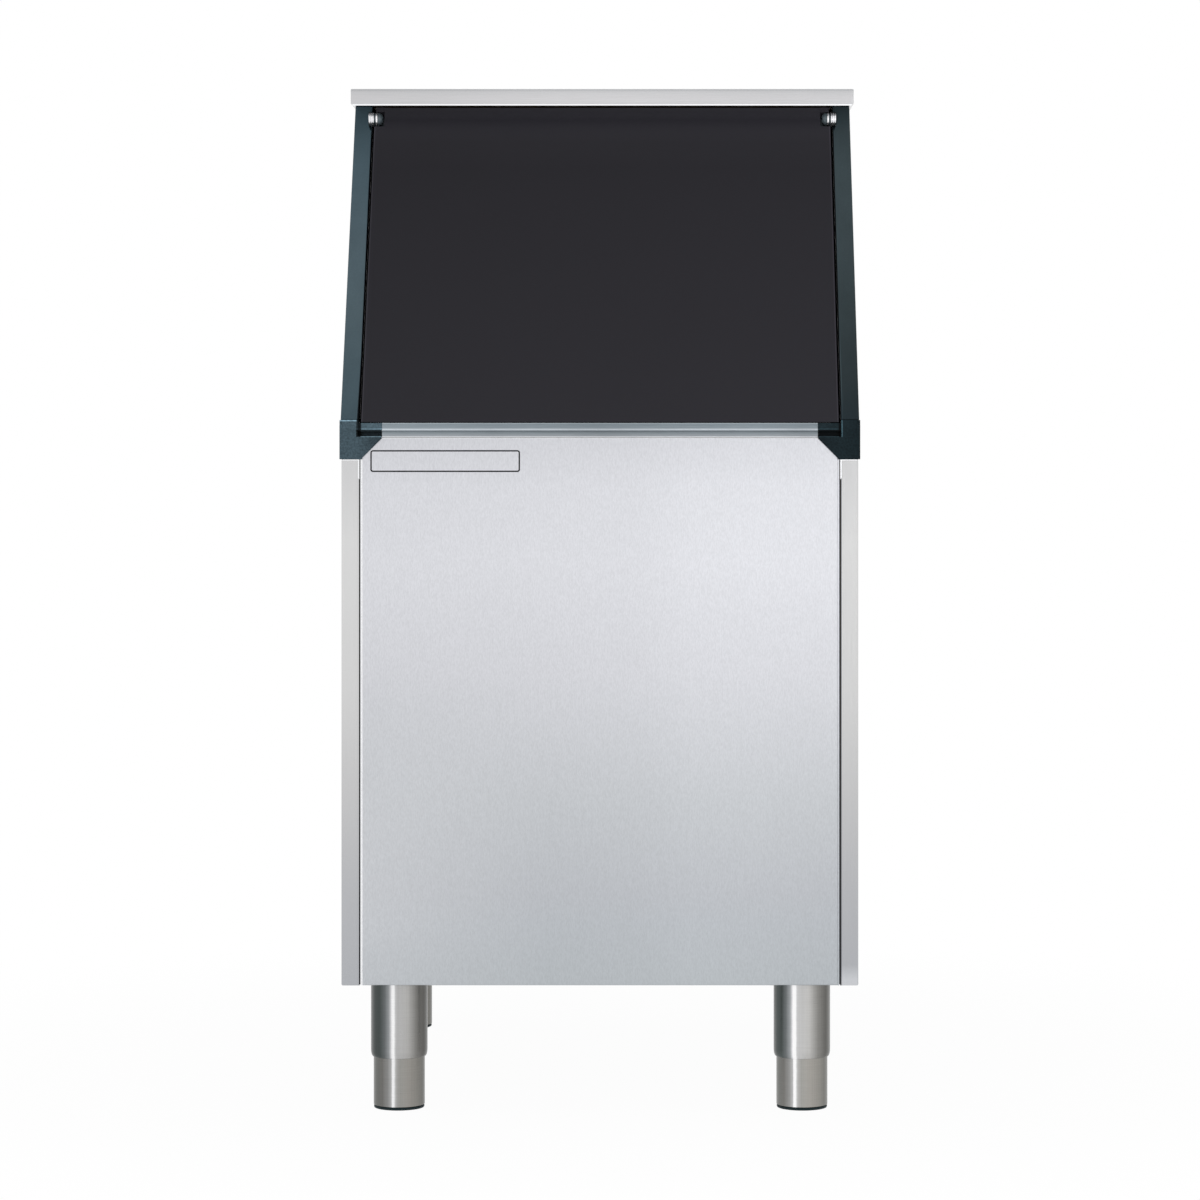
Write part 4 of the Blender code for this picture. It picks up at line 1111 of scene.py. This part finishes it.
def make_gasket():
    """The door's seal, with a groove down each side of its section."""
    low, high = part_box("door_gasket")
    width = 0.012
    corner = 0.010
    thickness = 0.0036
    near = door_back_depth + seat_gap
    middle_depth = near + thickness / 2
    lift = middle_of("door_gasket").z - hinge_axis.z + (middle_depth - hinge_depth) * sin(slope)
    middle_s = lift / cos(slope)
    half_s = (high.z - low.z - thickness * sin(slope)) / cos(slope) / 2
    flat = ((low.x, middle_s - half_s), (high.x, middle_s + half_s), corner)
    # Insets and depths of one half of the section, and then the other half's
    path = [(0.0006, 0.0), (0.0, 0.0008), (0.0009, 0.0015)]
    path += [(0.0, 0.0022), (0.0012, 0.0032), (0.003, thickness)]
    path += [(width - inset, depth) for inset, depth in reversed(path)]
    section = [(*flat, inset, near + depth) for inset, depth in path]

    def leaning(x, s, p):
        return on_slope(s, p, x)

    framed("bellows_gasket", section, leaning, "seal_rubber", "door", ["door_gasket"])


def make_rivets():
    """Domed rivets down both sides and across the top and bottom of the back panel."""
    low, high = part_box("back_panel")
    margin = 0.010
    radius = 0.0024
    height = 0.0010
    dome_steps = 6
    around = 24
    rows = 8
    columns = 4
    spots = []
    for i in range(rows):
        z = low.z + margin + (high.z - low.z - 2 * margin) * i / (rows - 1)
        spots += [(low.x + margin, z), (high.x - margin, z)]
    for i in range(1, columns):
        x = low.x + margin + (high.x - low.x - 2 * margin) * i / columns
        spots += [(x, low.z + margin), (x, high.z - margin)]
    shape = bmesh.new()
    for x, z in spots:
        rings = []
        for u, v in arc((0, 0), 1, 0, 90, dome_steps)[:-1] + [(0, 1)]:
            ring = arc((x, z), radius * u, 0, 360, around)[:-1] if u > 0 else [(x, z)]
            rings.append([shape.verts.new((a, high.y + height * v, b)) for a, b in ring])
        bridge(shape, rings, False)
        shape.faces.new(rings[0])
    piece(shape, "back_rivets", "leg_hardware", "root")


def make_drain():
    """The drain's flanged body and its rubber washer, with rounded edges."""
    centre = middle_of("drain_body")
    place = (centre.x, centre.y, 0)
    low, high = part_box("drain_body")
    bore = 0.012
    wall = 0.004
    thickness = 0.002
    flange_round = thickness * 0.4
    washer_round = thickness * 0.3
    flange = (high.x - low.x) / 2
    outline = [
        (bore, high.z),
        (flange, high.z),
        (flange, high.z - thickness),
        (bore + wall, high.z - thickness),
        (bore + wall, low.z),
        (bore, low.z),
    ]
    outline = fillet(outline, flange_round)
    turned("flanged_drain", outline, place, "drain_plastic", "root", ["drain_body"])
    low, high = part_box("drain_washer")
    outer = (high.x - low.x) / 2
    inner = bore + wall + seat_gap
    outline = fillet([(inner, high.z), (outer, high.z), (outer, low.z), (inner, low.z)], washer_round)
    turned("round_drain_washer", outline, place, "seal_rubber", "root", ["drain_washer"])


for word in ("front_left", "front_right", "rear_left", "rear_right"):
    make_leg(word)
for word, side in sides.items():
    make_hinge(word, side)
    make_hood(word, side)
    make_panel_gap_details(word, side)
make_top()
make_badge_border()
make_gap_trims()
make_gasket()
make_rivets()
make_drain()


post_round = 0.0004
bracket_round = 0.0010


def round_node(node, width, angle=40):
    """A small rounded edge on a node of the solid model."""
    bevel = frame["nodes"][node].modifiers.new("rounded_edges", "BEVEL")
    bevel.width = width
    bevel.segments = 2
    bevel.limit_method = "ANGLE"
    bevel.angle_limit = radians(angle)


for word in sides:
    round_node(word + "_post", post_round)
    round_node(word + "_corner_bracket", bracket_round)


def seen_or_mirrored(tree, low):
    """A share that is 1 for rays that see or mirror the backdrop, and low for the light it gives."""
    path = tree.nodes.new("ShaderNodeLightPath")
    seen = path.outputs["Is Camera Ray"]
    for name in ("Is Glossy Ray", "Is Transmission Ray"):
        either = tree.nodes.new("ShaderNodeMath")
        either.operation = "MAXIMUM"
        tree.links.new(seen, either.inputs[0])
        tree.links.new(path.outputs[name], either.inputs[1])
        seen = either.outputs[0]
    share = tree.nodes.new("ShaderNodeMapRange")
    tree.links.new(seen, share.inputs["Value"])
    share.inputs["To Min"].default_value = low
    return share.outputs[0]


def make_floor():
    """A pale floor that looks white, and near the bin keeps a share of its shading and shadow."""
    shape = bmesh.new()
    bmesh.ops.create_grid(shape, x_segments=1, y_segments=1, size=floor_size / 2)
    mesh = bpy.data.meshes.new("floor")
    shape.to_mesh(mesh)
    shape.free()
    floor = bpy.data.objects.new("floor", mesh)
    bpy.context.scene.collection.objects.link(floor)
    material = bpy.data.materials.new("floor")
    material.use_nodes = True
    tree = material.node_tree
    tree.nodes.clear()
    output = tree.nodes.new("ShaderNodeOutputMaterial")
    paint = tree.nodes.new("ShaderNodeBsdfDiffuse")
    paint.inputs["Color"].default_value = (floor_white, floor_white, floor_white, 1)
    glow = tree.nodes.new("ShaderNodeEmission")
    blend = tree.nodes.new("ShaderNodeMixShader")
    coordinates = tree.nodes.new("ShaderNodeTexCoord")
    distance = tree.nodes.new("ShaderNodeVectorMath")
    distance.operation = "LENGTH"
    tree.links.new(coordinates.outputs["Object"], distance.inputs[0])
    whiteness = tree.nodes.new("ShaderNodeMapRange")
    whiteness.interpolation_type = "SMOOTHSTEP"
    tree.links.new(distance.outputs["Value"], whiteness.inputs["Value"])
    whiteness.inputs["From Min"].default_value = floor_shadow_fade[0]
    whiteness.inputs["From Max"].default_value = floor_shadow_fade[1]
    whiteness.inputs["To Min"].default_value = 1 - floor_shadow_share
    share = tree.nodes.new("ShaderNodeMath")
    share.operation = "MULTIPLY"
    tree.links.new(seen_or_mirrored(tree, 0.0), share.inputs[0])
    tree.links.new(whiteness.outputs[0], share.inputs[1])
    tree.links.new(share.outputs[0], blend.inputs["Fac"])
    tree.links.new(paint.outputs[0], blend.inputs[1])
    tree.links.new(glow.outputs[0], blend.inputs[2])
    tree.links.new(blend.outputs[0], output.inputs["Surface"])
    mesh.materials.append(material)


def make_world():
    """White where it is seen or mirrored, and a plain soft fill for the rest."""
    world = bpy.data.worlds.new("studio")
    bpy.context.scene.world = world
    world.use_nodes = True
    tree = world.node_tree
    back = tree.nodes["Background"]
    back.inputs["Color"].default_value = (1, 1, 1, 1)
    tree.links.new(seen_or_mirrored(tree, world_fill), back.inputs["Strength"])


def make_lamps():
    """Flat lamps, all aimed at one point."""
    for name, (place, width, height, power) in lamps.items():
        data = bpy.data.lights.new(name, "AREA")
        data.shape = "RECTANGLE"
        data.size = width
        data.size_y = height
        data.energy = power
        lamp = bpy.data.objects.new(name, data)
        lamp.location = place
        lamp.visible_glossy = name not in hidden_in_metal
        aim = Vector(lamp_aim) - Vector(place)
        lamp.rotation_euler = aim.to_track_quat("-Z", "Y").to_euler()
        bpy.context.scene.collection.objects.link(lamp)


def make_camera():
    """The camera, level and square to the front."""
    data = bpy.data.cameras.new("camera")
    data.lens = camera_lens
    data.sensor_width = camera_sensor
    data.shift_x, data.shift_y = camera_shift
    camera = bpy.data.objects.new("camera", data)
    camera.location = camera_place
    camera.rotation_euler = (pi / 2, 0, 0)
    bpy.context.scene.collection.objects.link(camera)
    bpy.context.scene.camera = camera


make_floor()
make_world()
make_lamps()
make_camera()
bpy.context.scene.view_settings.view_transform = "Standard"
